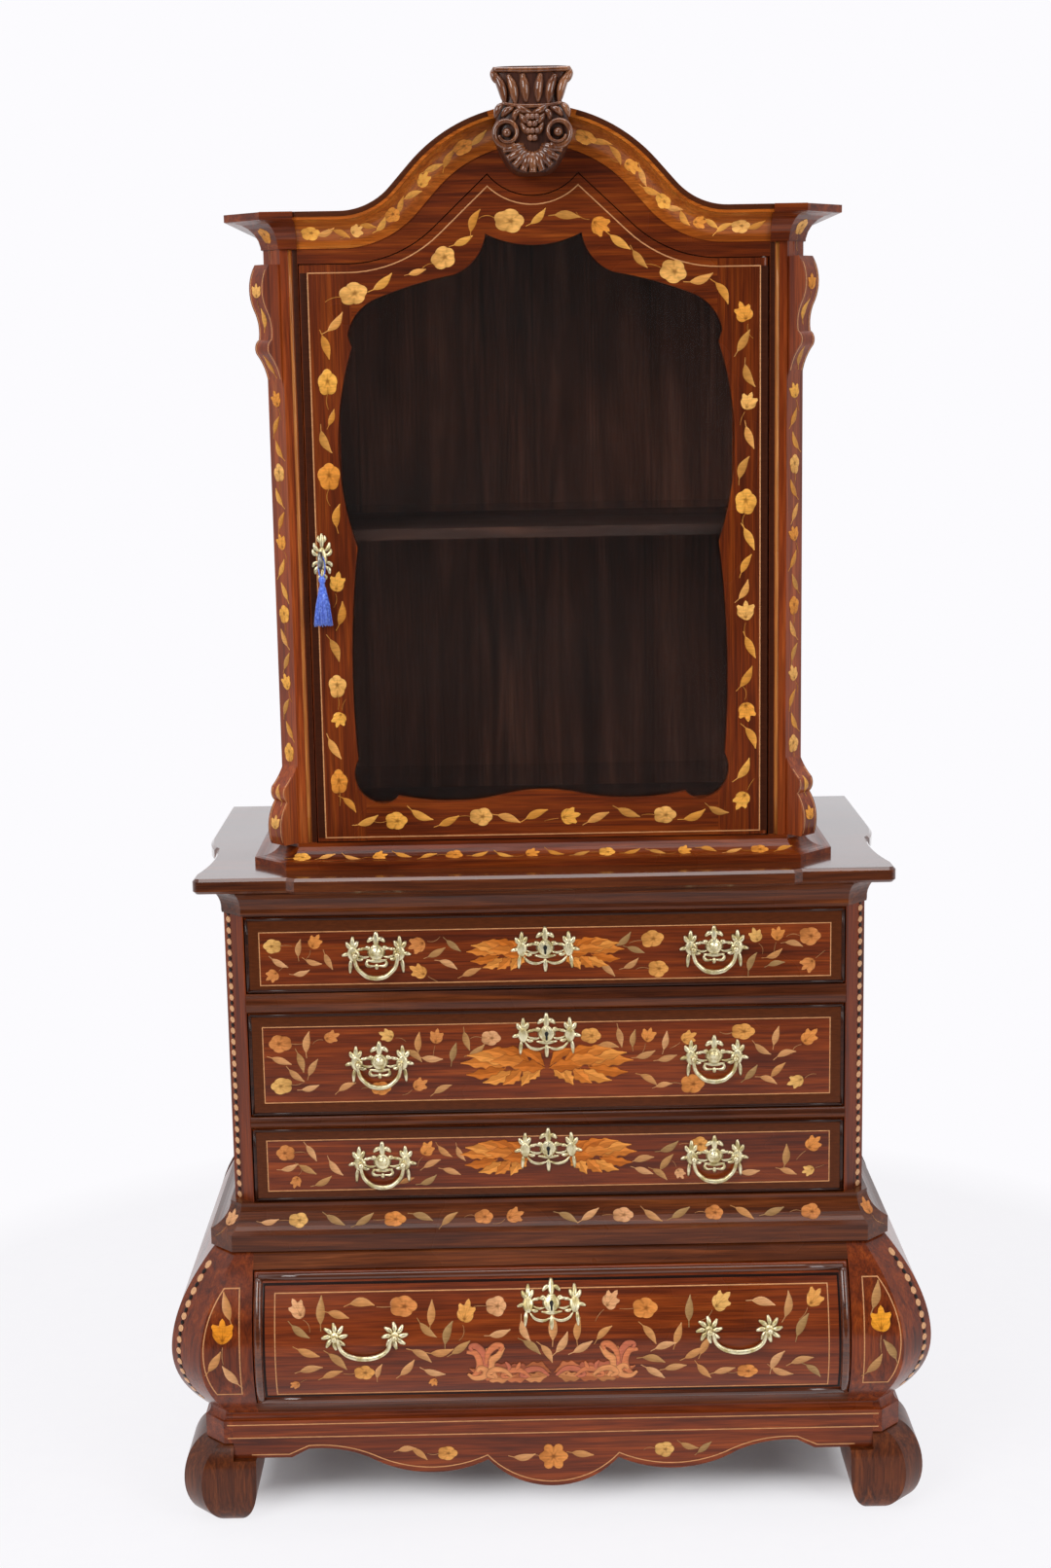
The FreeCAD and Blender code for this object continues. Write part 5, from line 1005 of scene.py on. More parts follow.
# %% Inlay on mouldings and corners
WAIST_TRAIL = [("r", -363, 22, 29, 0), ("r", -224, 21, 31, 0), ("r", -95, 22, 28, 0),
               ("t", -53, 22, 31, 20), ("r", 106, 21, 30, 0), ("r", 238, 22, 28, 0),
               ("r", 378, 21, 30, 0), ("l", -309, 21, 31, -30), ("l", -267, 22, 31, 35),
               ("l", -183, 23, 31, -20), ("l", -144, 20, 30, 40), ("l", 27, 18, 31, -30),
               ("l", 59, 23, 31, 35), ("l", 150, 19, 31, -35), ("l", 190, 23, 31, 30),
               ("l", 282, 20, 31, -35), ("l", 325, 23, 31, 20), ("l", -404, 22, 26, 10)]
WAIST, WAIST_DEPTH = ((437, -2), (469, -29), 5), -34
inlay("waist_inlay", spray(WAIST_TRAIL), on_hollow(on_face(0, WAIST_DEPTH), *WAIST), "carcase")
inlay("plinth_trail_inlay", spray(trail(-345, 345, 33, 25, 17, wave=0.8), DOOR_FLOWERS, DOOR_LEAVES),
      on_hollow(cabinet_front, (972, 37), (987, 5), 5), "carcase")
PALE_PELLET, DARK_PELLET, PITCH = linear("#dba679"), linear("#170b07"), 16.5


def pellet_row(x, low, high, size, small):
    """An upright row of pale pellets at an even pitch, with smaller dark ones between them."""
    spots = np.arange(low, high, PITCH)
    pale = [(x, at, size, 0) for at in spots]
    dark = [(x, at + 8.2, small, 0) for at in spots[:-1]]
    return [blossoms("oval", pale, np.tile(PALE_PELLET, (len(pale), 1)), 1.1),
            blossoms("oval", dark, np.tile(DARK_PELLET, (len(dark), 1)), 1.2)]


HANDS = ((-1, "left"), (1, "right"))
CABINET_CORNER, WAIST_CORNER, CHEST_CORNER = (360.5, 74.5), (475, -17), (443.5, 14.5)


def on_corner(hand, middle):
    """The canted corner on one side, through its middle (how far aside, how deep)."""
    return on_face(hand * middle[0], middle[1], 45 * hand)


for hand, word in HANDS:
    corner = on_corner(hand, CABINET_CORNER)
    inlay(f"waist_corner_inlay_{word}", spray([("t", 0, 20, 30, 90)]),
          on_hollow(on_corner(hand, WAIST_CORNER), *WAIST), "carcase")
    inlay(f"cornice_corner_inlay_{word}", spray([("r", 0, 16, 25, 90)], DOOR_FLOWERS),
          on_hollow(corner, (1826, 3), (1859, 47), 11), "carcase")
    corner_trail = trail(1122, 1618, 31, 27, 0, True)
    inlay(f"cabinet_corner_inlay_{word}", spray(corner_trail, DOOR_FLOWERS, DOOR_LEAVES), corner, "carcase")
    inlay(f"chest_corner_pellets_{word}", pellet_row(hand * 10, 446, 932, 9, 5.5),
          on_corner(hand, CHEST_CORNER), "carcase")

# %% [markdown]
# ## The lower corners
# Each swelling corner post has a tulip in a stringed panel on its front, and a row of pale pellets down
# its canted edge. That edge moves out with the swell and grows broader on the way, so it has a lay of its
# own.

# %% Inlay on the lower corners
STRONG_ORANGE = tones_of("#e8992c #e08a24")
CHEST_HALF = 458


def on_canted_swell(hand):
    """The canted face of a swelling post: its middle moves out with the swell, and its breadth grows."""
    def lay(design, off):
        reach = swell(design[:, 1])
        half_cant = (29 + 18 * reach / BELLY_OUT) / 2
        along = hand * design[:, 0] + half_cant * 0.5 * math.sqrt(2)
        steep = np.hypot(1, (swell(design[:, 1] + 1) - swell(design[:, 1] - 1)) * 0.35)
        x = CHEST_HALF + reach - half_cant + (along + off * steep) / math.sqrt(2)
        depth = half_cant - reach + (along - off * steep) / math.sqrt(2)
        return np.column_stack([hand * x, depth, design[:, 1]])

    return lay


for hand, word in HANDS:
    rim = arc_through((468, 368), (497, 298), (482, 214), 18)
    panel = np.concatenate([[(446, 214), (446, 368)], rim])[::-1] * (hand, 1)
    panel_string = string(stepped(panel[::hand], 6, True), 1.6, True)
    rows = [("t", hand * 470, 308, 42, 90), ("l", hand * 464, 346, 37, 90 - 15 * hand),
            ("l", hand * 482, 270, 35, 90 + 32 * hand), ("l", hand * 461, 248, 37, 90 - 34 * hand)]
    inlay(f"tulip_panel_{word}", spray(rows, STRONG_ORANGE) + [panel_string], on_swell(0), "carcase")
    inlay(f"lower_corner_pellets_{word}", pellet_row(0, 190, 404, 9.5, 6), on_canted_swell(hand), "carcase")

# %% [markdown]
# ## The apron
# The apron carries one daisy in the middle and a rose at each side, and a string follows its scalloped
# edge: a shoulder, a long wave and a deep bow, each drawn with the compass. Two straight strings run
# along the plinth above it.

# %% Inlay on the apron
APRON_SPRAY = [("d", 0, 93, 42, 0), ("l", -42, 95, 32, 8), ("l", 43, 96, 32, -8), ("l", -213, 108, 27, 5),
               ("l", -195, 100, 28, -40), ("r", -155, 101, 29, 0), ("r", 162, 101, 30, 0),
               ("l", 199, 106, 27, -18), ("l", 221, 103, 26, 40)]
wave = np.concatenate([arc_through((356.5, 117), (327, 117), (263, 101), 10),
                       arc_through((263, 101), (188, 80), (96, 97), 14)[1:]])
bow = arc_through((96, 97), (0, 54), (-96, 97), 20)[1:-1]
shoulder = np.array([(440, 104), (385, 104)])
scallop = np.concatenate([shoulder, wave, bow, wave[::-1] * (-1, 1), shoulder[::-1] * (-1, 1)])
APRON_DEPTH, PLINTH_DEPTH = -47, -50
apron_designs = spray(APRON_SPRAY) + [string(stepped(scallop, 8), 1.5)]
inlay("apron_inlay", apron_designs, on_face(0, APRON_DEPTH), "carcase")
plinth_strings = [string(stepped([(-474, z), (474, z)], 40), 1.6) for z in (132, 152)]
inlay("plinth_strings", plinth_strings, on_face(0, PLINTH_DEPTH), "carcase")

# %% [markdown]
# ## Brackets on the cabinet's corners
# Carved brackets ease the cabinet's canted corners into the cornice above and the plinth below. Their
# curved fronts carry a tulip and leaves between two strings. The lay reads how far a bracket stands out
# at each height from the same compass arcs that it was sawn to.

# %% Inlay on the brackets
UPPER_ARCS = [((0, 0), (0.2, 0.15), (0.68, 0.28)), ((0.68, 0.28), (0.76, 0.34), (0.52, 0.4)),
              ((0.52, 0.4), (0.5, 0.5), (0.78, 0.64)), ((0.78, 0.64), (1, 0.8), (0.62, 1))]
LOWER_ARCS = [((0.86, 0), (1, 0.18), (0.58, 0.55)), ((0.58, 0.55), (0.76, 0.64), (0.7, 0.74)),
              ((0.7, 0.74), (0.3, 0.86), (0, 1))]
BRACKETS = {  # the arcs with their foot, reach and height, the ends of the strings, and the motifs
    "upper": (UPPER_ARCS, 1635, 29, 168, (1648, 1796),
              [("t", 0, 1765, 25, 90), ("l", 0, 1731, 27, 80), ("l", 0, 1668, 26, 100)]),
    "lower": (LOWER_ARCS, 992, 31, 112, (996, 1088), [("t", 0, 1022, 25, 90), ("l", 0, 1066, 25, 100)]),
}


def on_bracket(face, arcs, low, reach, tall):
    """A bracket's curved front: at each height it stands out from the canted corner as its arcs do."""
    sized = np.array(arcs, float) * (reach, tall)
    line = np.concatenate([arc_through(*arc) for arc in sized])

    def lay(design, off):
        return face(design, np.interp(design[:, 1] - low, line[:, 1], line[:, 0]) + off)

    return lay


for hand, word in HANDS:
    corner = on_corner(hand, CABINET_CORNER)
    for place, (arcs, low, reach, tall, (foot, head), rows) in BRACKETS.items():
        edges = [string(stepped([(x, foot), (x, head)], 4), 1.3) for x in (-12.5, 12.5)]
        inlay(f"{place}_bracket_inlay_{word}", edges + spray(rows, DOOR_FLOWERS, DOOR_LEAVES),
              on_bracket(corner, arcs, low, reach, tall), "carcase")

# %% [markdown]
# ## The sides
# The sides are quiet: a string panel on the cabinet and one on the chest, as is usual where a side is
# seen only in passing.

# %% Side panels
for hand, word in HANDS:
    inlay(f"cabinet_side_string_{word}", [frame_string(165, 1030, 1785, 1.6, hand * 292)],
          on_face(hand * 373, 0, 90 * hand), "carcase")
    inlay(f"chest_side_string_{word}", [frame_string(195, 492, 880, 1.6, hand * 265)],
          on_face(hand * CHEST_HALF, 0, 90 * hand), "carcase")

# %% [markdown]
# ## Cast brass plates
# Each handle plate is cast and pierced: scrolls and leaves round a small boss, with dark wood showing
# between them. A flat plate with holes would look stamped, so every scroll is a tapering rod, half sunk
# into the front. Half of the scrolls are drawn and the other half are their mirror images.

# %% Handle plates
TOWER = [  # half breadth in mm, then the points of the line, for one side of a plate
    (8.4, (33.5, -10), (33.5, 1), (33.5, 11)), (3.8, (33, 7), (29, 13), (26, 19)),
    (3.8, (34, 7), (39, 12), (42, 18)), (3.6, (33.5, 9), (33.5, 17), (33, 26)),
    (3.2, (38, 0), (43, 0), (49, -2)), (2.6, (28, 5), (23, 7), (19, 6)),
    (3.0, (36, -8), (37, -16), (38, -28)), (2.8, (29, -6), (24, -8), (19, -8)),
    (2.1, (26, 6), (18, 8), (10, 6)), (2.1, (26, -2), (18, -5), (10, -4)),
    (3.6, (1, 22), (7, 22), (12.5, 17)), (3.0, (8, 7), (12, 9.5), (16, 8.5))]
HEART = [(13.0, (0, -9), (0, 2), (0, 13)), (4.8, (0, 10), (0, 21), (0, 33)),
         (2.8, (-15, -9), (0, -11), (15, -9))]
HANDLE_EXTRA = [(2.6, (12, -9), (14.5, -14), (11, -18), (2, -17.5)),
                (2.0, (0.8, -15), (0.8, -19), (0.8, -23))]
KEY_EXTRA = [(2.5, (31, -10), (24, -18), (12, -21), (1, -17)), (2.8, (0.5, -14), (0.5, -23), (0.5, -33))]
VEINS = [(1.2, (33, -6), (30.5, 2), (30, 10)), (1.2, (33, -6), (35.5, 2), (36, 10)),
         (1.3, (33, -7), (33, 2), (33, 12)), (1.2, (3, 14), (8, 6), (5, -4))]


def scroll(rows, x, z, lay, mirror=False, off=0.9):
    """Rods along smooth lines on a face, thickest in the middle: breadth times (0.4 + 0.6 sin(pi t))."""
    made = []
    for breadth, *points in rows:
        line = line_through(points, 9) * ((-1, 1) if mirror else (1, 1)) + (x, z)
        swelling = breadth * (0.4 + 0.6 * np.sin(np.linspace(0, math.pi, 9)))
        made.append(rod(lay(line, off), swelling, np.minimum(swelling * 0.75, 2.6)))
    return made


def plate(x, z, lay, handle=True):
    """A pierced plate: two leafy towers and a crowned heart, with a boss on a handle's plate."""
    half = TOWER + (HANDLE_EXTRA if handle else KEY_EXTRA)
    made = scroll(half, x, z, lay) + scroll(half, x, z, lay, True) + scroll(HEART, x, z, lay)
    for mirror in (False, True):
        made += scroll(VEINS, x, z, lay, mirror, 3.0)
    if handle:
        middle = lay(np.array([[x, z + 3]]), 0)[0]
        made.append(turned([(1, 7), (3, 7), (4, 5.6), (4.6, 3.4), (5.4, 2.4), (5.8, 0.4)], middle))
    return made


# %% [markdown]
# ## Posts, keyholes and locks
# A bail hangs between two turned posts that go through the front. A keyhole has a raised rim, and inside
# it is dark, because light hardly gets in: a dark slot shows this without a real hole. The lock itself is
# a case with rounded edges on the back of the front.


# %% Posts, keyholes and locks
def post(x, z, lay, rosette):
    """A turned post on its rosette, which holds a bail's end 11 mm off the face."""
    root = lay(np.array([[x, z]]), 0)[0]
    shape = [(-1, rosette), (1.2, rosette), (2.2, rosette * 0.7), (3, 3.4), (7.5, 2.6), (8.5, 3.9),
             (10.5, 4.6), (12.8, 4.4), (14.6, 2.8), (15, 0.4)]
    return turned(shape, root, sides=14)


def keyhole(x, z, lay):
    """The raised rim of a keyhole and the dark hole in it, as a wide and a narrow slot."""
    plate_line = line_through([(x, z + 11), (x, z), (x, z - 11)], 7)
    hole_line = line_through([(x, z + 6), (x, z - 1), (x, z - 7)], 7)
    rim = rod(lay(plate_line, 1.6), np.array([2, 5, 6, 5.6, 5, 4.4, 2]), 2.0, 12)
    hole = rod(lay(hole_line, 3.5), np.array([1.4, 2.9, 2.7, 1.6, 1.5, 1.6, 1]), 0.5)
    return rim, hole


def lock_body(z, depth):
    """The lock on the back of a front: a case 60 by 42 by 12 mm whose edges and corners are rounded, with
    x and z to the power of eight."""
    u = np.linspace(0, math.tau, 32, endpoint=False)[None, :]
    v = np.linspace(-1, 1, 9)[:, None]
    out = ((1 - v**8) ** 0.125 * 0.98 + 0.02) * squarish(u, 8)
    rings = np.broadcast_arrays(30 * out * np.cos(u), depth + 6 + 6 * v, z + 21 * out * np.sin(u))
    return np.stack(rings, -1).reshape(-1, 3), stack_of(9, 32)[:, ::-1]


# %% [markdown]
# ## Brasses on the drawers
# The handles of the swelling drawer are simpler: two leaf rosettes, eight petals each, with a bail
# between them. All brasses of one drawer are one piece, which stands for the plain plates of the frame.

# %% Brasses on the drawers
HANDLES = {  # heights of handles and keyhole, then how far aside a handle is, and its posts from its middle
    1: (842.5, 845, 240, 30), 2: (680.5, 718, 240, 30), 3: (530, 546, 240, 30),
    LOWEST: (304.5, 342, 267, 43)}
LOCK_DEPTH = {1: 22, 2: 22, 3: 22, LOWEST: -14}
# The keyhole's near-black finish is painted shade inside the hole.
blackness, tree, shader, place = new_finish("keyhole_painted_shade")
hole_shade_noise = add(tree, "TexNoise", {"Vector": place, "Scale": 400.0})
dim = add(tree, "ValToRGB", {"Fac": hole_shade_noise.outputs["Fac"]}, stops=[(0.3, "#050403"), (0.7, "#120d0a")])
feed(shader, {"Base Color": dim.outputs["Color"], "Roughness": 0.8})


def ray(angle, length):
    """A point at an angle and a distance from the middle."""
    return length * math.cos(angle), length * math.sin(angle)


PETALS = [(3.7, ray(a, 5), ray(a, 11), ray(a + 0.12, 19)) for a in np.arange(8) * math.pi / 4]
for n, (handle_z, keyhole_z, aside, post_half) in HANDLES.items():
    lay = FRONTS[n]
    surfaces = plate(0, keyhole_z, lay, handle=False) + [lock_body(keyhole_z - 8, LOCK_DEPTH[n])]
    for middle in (-aside, aside):
        posts = (middle - post_half, middle + post_half)
        if n == LOWEST:
            for x in posts:
                surfaces.append(post(x, handle_z, lay, 6))
                surfaces += scroll(PETALS, x, handle_z, lay)
        else:
            surfaces += plate(middle, handle_z, lay)
            surfaces += [post(x, handle_z, lay, 6.5) for x in posts]
    rim, hole = keyhole(0, keyhole_z, lay)
    mounts = piece(f"drawer_{n}_mounts", surfaces + [rim], brass, f"drawer_{n}")
    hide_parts(f"drawer_{n}_brasses")
    piece(f"drawer_{n}_keyhole", [hole], blackness, f"drawer_{n}")

# %% [markdown]
# The door has a taller plate for its key: a crowned heart with leaves down both sides and a drop. It is
# made of the same tapering rods.

# %% Brass on the door
KEY_X, KEY_Z = -303.5, 1399.5
DOOR_SIDE = [(3.2, (4, 10), (9, 15), (11, 22)), (3.0, (5, 4), (11, 7), (13, 13)),
             (2.8, (5, -5), (11, -7), (13.5, -12)), (3.0, (4, -11), (9, -15), (10, -22)),
             (2.2, (2, 22), (5, 27), (4, 32)), (2.0, (2, -22), (5, -26), (4, -30))]
DOOR_HEART = [(7.4, (0, -15), (0, 0), (0, 15)), (3.4, (0, 13), (0, 24), (0, 35)),
              (3.0, (0, -13), (0, -24), (0, -35))]
door_plate = scroll(DOOR_SIDE, KEY_X, KEY_Z, cabinet_front)
door_plate += scroll(DOOR_SIDE, KEY_X, KEY_Z, cabinet_front, True)
door_plate += scroll(DOOR_HEART, KEY_X, KEY_Z, cabinet_front)
door_mount = piece("door_mount", door_plate, brass, "door")
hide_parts("door_escutcheon")

# %% [markdown]
# ## Bails
# A bail is a cast loop that is thin at its ends and thick where the fingers pull. It hangs from the same
# two posts and on the same axis as the plain loop of the frame, and is drawn in a little closer. Its
# radius swells from 2 mm to about 3.6 mm at the bottom of the bow.


# %% Bails that swing
def bail(half, pin, side, x, depth, z):
    """A bail: short pins, a turn, leaning arms and a wide bow. radius = 2 + 1.6 sin(pi t)^1.5."""
    arm = (half - side / 2, -4 - side * math.sin(math.pi / 3))
    bottom = arm[1] - 2 * arm[0] * (1 - math.sin(math.pi / 3))
    right = [(half - pin, 0), (half - pin / 3, -0.6), (half, -5), (half - side * 0.134, -4 - side / 2), arm,
             (arm[0] * 0.55, bottom + (arm[1] - bottom) * 0.28)]
    points = [(-a, b) for a, b in right] + [(0, bottom)] + right[::-1]
    line = line_through(points, 45)
    path = np.column_stack([x + line[:, 0], np.full(45, depth), z + line[:, 1]])
    radius = 2 + 1.6 * np.sin(np.linspace(0, math.pi, 45)) ** 1.5
    return rod(path, radius, radius, 10)


for n, (handle_z, _, aside, _) in HANDLES.items():
    half, pin, side, axis_depth = (37, -6, 22, -101.36) if n == LOWEST else (30.5, 2.5, 29, -11)
    for hand, word in HANDS:
        name = f"drawer_{n}_bail_{word}"
        bow = bail(half, pin, side, hand * aside, axis_depth, handle_z)
        loop = piece(f"{name}_cast", [bow], brass, name)
        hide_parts(name)

# %% [markdown]
# ## The carved crest
# The crest is one block of mahogany: a fluted shell at the foot, a pair of volutes like rolled paper,
# leafage between them and a flared cap. The block is a stack of rounded sections whose breadth follows
# the outline, in shares of its half breadth and its height.

# %% Crest block
CREST_LOW, CREST_HIGH, CREST_HALF, CREST_FRONT, CAP_FOOT = 1912.2, 2050.4, 54, -13.0, 2003
CREST_OUTLINE = [(0.05, 0.0), (0.42, 0.02), (0.68, 0.1), (0.9, 0.26), (1.0, 0.42), (0.86, 0.58),
                 (0.71, 0.7), (0.79, 0.82), (0.94, 0.89), (1.0, 0.96), (0.98, 0.995), (0.9, 1.0),
                 (0.5, 1.0), (0.05, 1.0)]
profile = line_through(CREST_OUTLINE, 60)
crest_half = (profile[:, 0] * (CREST_HALF - 1.5))[:, None]
crest_z = (CREST_LOW + profile[:, 1] * (CREST_HIGH - CREST_LOW))[:, None]
around = np.linspace(0, math.tau, 48, endpoint=False)[None, :]
back = np.where(crest_z > CAP_FOOT, 33.0, 58.0)
half_depth = (back - CREST_FRONT) / 2 * np.minimum(1, crest_half / 20)
sections = np.broadcast_arrays(
    crest_half * squarish(around, 5) * np.cos(around),
    (CREST_FRONT + back) / 2 - half_depth * squarish(around, 5) * np.sin(around), crest_z)
block = np.stack(sections, -1).reshape(-1, 3)
# The block's ground is painted dark as the shade in the carving's hollows.
SHADOWED = [(0.3, "#2a140c"), (0.5, "#452215"), (0.8, "#5e3422")]
recess_mahogany = wood("mahogany_carving_painted_shade", SHADOWED, 2, 0.42, 0.1)
crest_block = piece("crest_block", [(block, stack_of(60, 48)[:, ::-1])], recess_mahogany, "carcase")
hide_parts("crest")

# %% [markdown]
# The carving is added over the block as tapering rods, as a carver leaves ridges between cuts. Its ground
# is dull and painted dark, as shade in the hollows, and its ridges are glossy and painted paler, as light
# that catches them. Sculpting would give finer cuts, but a few dozen ridges read well from where one
# stands.

# %% Crest carving
# The ridges' colours are painted paler as light on the raised carving; their gloss is real.
RIDGES_PAINTED_LIGHT = [(0.25, "#4c2617"), (0.5, "#774528"), (0.65, "#96613f"), (0.8, "#bb8b66")]
carved_mahogany = wood("mahogany_carving_painted_light", RIDGES_PAINTED_LIGHT, 2, 0.16, 1.0)


def ridge(points, breadth, height, depth=-13.5, count=14, start=0.35, end=0.35):
    """A carved ridge on the crest's front: a flattened rod, fullest in its middle, whose ends keep the
    given shares of its breadth."""
    line = line_through(points, count)
    t = np.linspace(0, 1, count)
    taper = np.maximum(np.sin(math.pi * t) ** 0.5, np.where(t < 0.5, start, end))
    path = np.column_stack([line[:, 0], depth - 0 * t, line[:, 1]])
    return rod(path, breadth * taper, height * taper)


FLUTES = ((8, 2004, 4, 36, 6.4), (22, 2002, 9, 37, 6.6), (36, 2003, 13, 38, 6.2))
CAP_CURLS = [  # breadth, then the points of the line, for the right half
    (4.6, (50, 2048), (51, 2040), (46, 2032), (41, 2035)), (4.8, (38, 2003), (45, 1996), (49, 1984)),
    (4.8, (24, 1998), (33, 1994), (40, 1986)), (4.4, (14, 1996), (22, 1990), (24, 1980))]
VOLUTE_X, VOLUTE_Z = 34, 1965
carving = []
for angle in np.radians(np.linspace(196, 344, 9)):
    along = np.array(ray(angle, 1))
    line = [along * 12 + (0, 1953), along * 26 + (0, 1953), along * 41 + (0, 1955)]
    carving.append(ridge(line, 6.6, 8, start=0.25, end=0.8))
for hand in (-1, 1):
    angle = np.linspace(0, 2.6 * math.pi, 36)
    radius = np.linspace(18.5, 11, 36)
    path = np.column_stack([hand * (VOLUTE_X + radius * np.cos(angle - 2.2)), -15 - np.linspace(0, 4, 36),
                            VOLUTE_Z + radius * np.sin(angle - 2.2)])
    carving.append(rod(path, np.linspace(4.6, 2.2, 36), np.linspace(6, 4, 36)))
    eye = [(0, 6), (7, 5.8), (9.5, 4.6), (11, 2.6), (11.4, 0.4)]
    carving.append(turned(eye, (hand * VOLUTE_X, CREST_FRONT, VOLUTE_Z)))
    for x, low, lean, tall, breadth in FLUTES:
        tip = (hand * (x + lean), low + tall)
        line = [(hand * x, low), (hand * (x + lean * 0.3), low + tall * 0.55), tip]
        carving.append(ridge(line, breadth, 7, end=0.6))
    carving += [ridge(np.array(points) * (hand, 1), breadth, 6) for breadth, *points in CAP_CURLS]
    for low, reach, lift in ((1962, 15, 16), (1976, 17, 14), (1990, 22, 12)):
        line = [(0, low), (hand * reach * 0.6, low + lift * 0.4), (hand * reach, low + lift)]
        carving.append(ridge(line, 5, 7))
for row, z in enumerate((1958, 1967, 1976, 1985)):
    for x in (-6, 0, 6) if row % 2 else (-3, 3):
        berry = [(-2, 4.6), (3, 4.4), (5.5, 3), (6.6, 0.4)]
        carving.append(turned(berry, (x, -17, z), sides=10))
brim = [(-51, 2046), (-26, 2045.6), (0, 2045.2), (26, 2045.6), (51, 2046)]
neck = [(-40, 2003), (-20, 2000), (0, 1999), (20, 2000), (40, 2003)]
carving.append(ridge(brim, 4, 6, -14, 20, 0.9, 0.9))
carving.append(ridge(neck, 3, 5, -14, 20, 0.8, 0.8))
piece("crest_carving", carving, carved_mahogany, "carcase")

# %% [markdown]
# ## Beads round the drawers
# A rounded bead frames the swelling drawer, with a painted shadow line inside it: a flat dark strip of
# veneer where a groove would hold shade. A fine cock bead frames each flat one, where it guards the edge of
# the veneer, and is coloured dark as painted shade along the drawer's edge. A joiner planes such beads as
# long strips. Here they are rods laid on the same faces as the inlay.

# %% Drawer beads
bead_half, bead_low, bead_high = 419, 202, 381
bead_lines = [stepped([(-bead_half, z), (bead_half, z)], 60) for z in (bead_low, bead_high)]
bead_lines += [stepped([(x, bead_low), (x, bead_high)], 6) for x in (-bead_half, bead_half)]
beads = [rod(FRONTS[LOWEST](line, 0), 5.6, 4.6, 12) for line in bead_lines]
piece("drawer_4_bead", beads, top_mahogany, "drawer_4")
# The dark line inside the bead is a flat strip of painted shade, where a groove would hold shadow.
shadow_line_corners = [(-411, 210), (411, 210), (411, 373), (-411, 373)]
painted_shadow_line = string(stepped(shadow_line_corners, 6, True), 3.2, True, linear("#1c0b06"))
inlay("drawer_4_painted_shadow_line", [painted_shadow_line], FRONTS[LOWEST], "drawer_4")
# The cock beads below are coloured dark as painted shade at each drawer's edge.
BEAD_EDGE = 2.6
for n in (1, 2, 3):
    low, high = (np.array(corner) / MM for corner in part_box(f"drawer_{n}_front"))
    left, right = low[0] + BEAD_EDGE, high[0] - BEAD_EDGE
    foot, head = low[2] + BEAD_EDGE, high[2] - BEAD_EDGE
    lines = [stepped([(left, z), (right, z)], 60) for z in (foot, head)]
    lines += [stepped([(x, foot), (x, head)], 30) for x in (left, right)]
    beads = [rod(FRONTS[n](line, 0), 2.4, 1.8) for line in lines]
    piece(f"drawer_{n}_bead", beads, cock_bead_mahogany, f"drawer_{n}")

# %% [markdown]
# ## Beads on the posts and rails
# A slim bead runs up the front of each cabinet post, in a pale wood that paints the highlight light would
# leave along it, and a broad, low one along each rail between the upper drawers.

# %% Post and rail beads
post_lines = [stepped([(x, POST_FOOT), (x, POST_HEAD)], 60) for x in (-334.5, 334.5)]
post_beads = [rod(cabinet_front(line, 0), 2.6, 2.4, 10) for line in post_lines]
piece("post_beads", post_beads, bead_mahogany, "carcase")
rail_lines = [stepped([(-425, z), (425, z)], 60) for z in (772, 594.5)]
rail_beads = [rod(FRONTS[1](line, 0), 8, 2.6, 12) for line in rail_lines]
piece("rail_beads", rail_beads, moulding_mahogany, "carcase")

# %% [markdown]
# ## The tassel on the key
# A tassel is a knob of wound thread over a skirt of loose silk, hung from the key by a short loop. The
# loop and knob are rods and a turned shape, and the skirt is a ring of strands that flare and waver a
# little, each with a few faces only. Hair would give softer strands, but it is not a mesh.

# %% Tassel
TASSEL_DEPTH, KNOB_TOP, STRANDS = 49, 1375.5, 64
loop_angle = np.linspace(0, math.tau, 33)
loop = np.column_stack([KEY_X + 4.6 * np.sin(loop_angle), TASSEL_DEPTH + 0.6 * np.cos(loop_angle),
                        KEY_Z - 11 + 14.6 * np.cos(loop_angle)])
knob = [(0, 1.2), (1, 3.4), (3.4, 4.8), (6.4, 5.0), (9, 3.8), (10, 3.2), (11, 3.9), (12, 3.4), (13, 4.1),
        (14, 3.4), (15, 4.0), (16.5, 3.6), (20, 4.6), (24, 3.0)]
strands = [rod(loop, 1.0, 1.0, 6), turned(knob, (KEY_X, TASSEL_DEPTH, KNOB_TOP), (0, 0, -1), 20)]
for k in range(STRANDS):
    angle = math.tau * k / STRANDS + chance.uniform(-0.04, 0.04)
    flare = (9.6 if k % 2 else 7.0) + chance.uniform(-0.8, 0.8)
    sway = np.array([0, 0.1, 0.06, -0.05, 0.08]) * chance.uniform(-1, 1) + angle
    ring = np.array([3.2, 4.6, 6.4 * flare / 9, 7.9 * flare / 9, flare])
    drop = np.array([1360, 1350, 1336, 1320, 1305 + chance.uniform(0, 4)])
    path = np.column_stack([KEY_X + 1.3 * ring * np.cos(sway), TASSEL_DEPTH + ring * np.sin(sway), drop])
    strands.append(rod(path, 0.72, 0.72, 4, (math.cos(angle), math.sin(angle), 0.01)))
tassel = piece("tassel_silk", strands, silk, "tassel")
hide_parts("tassel")

# %% [markdown]
# ## Floor
# The piece stands on a plain pale floor that fades into a white ground, as in a catalogue picture. Under
# the middle of the chest, up to about 11 cm before and behind and 40 cm to either side, the floor is paint
# that takes the shadow. Within some 12 cm beyond that it turns mostly into a white glow, painted light
# that washes out the shadow there, and further out into an even white glow, so that no edge of the floor
# shows.

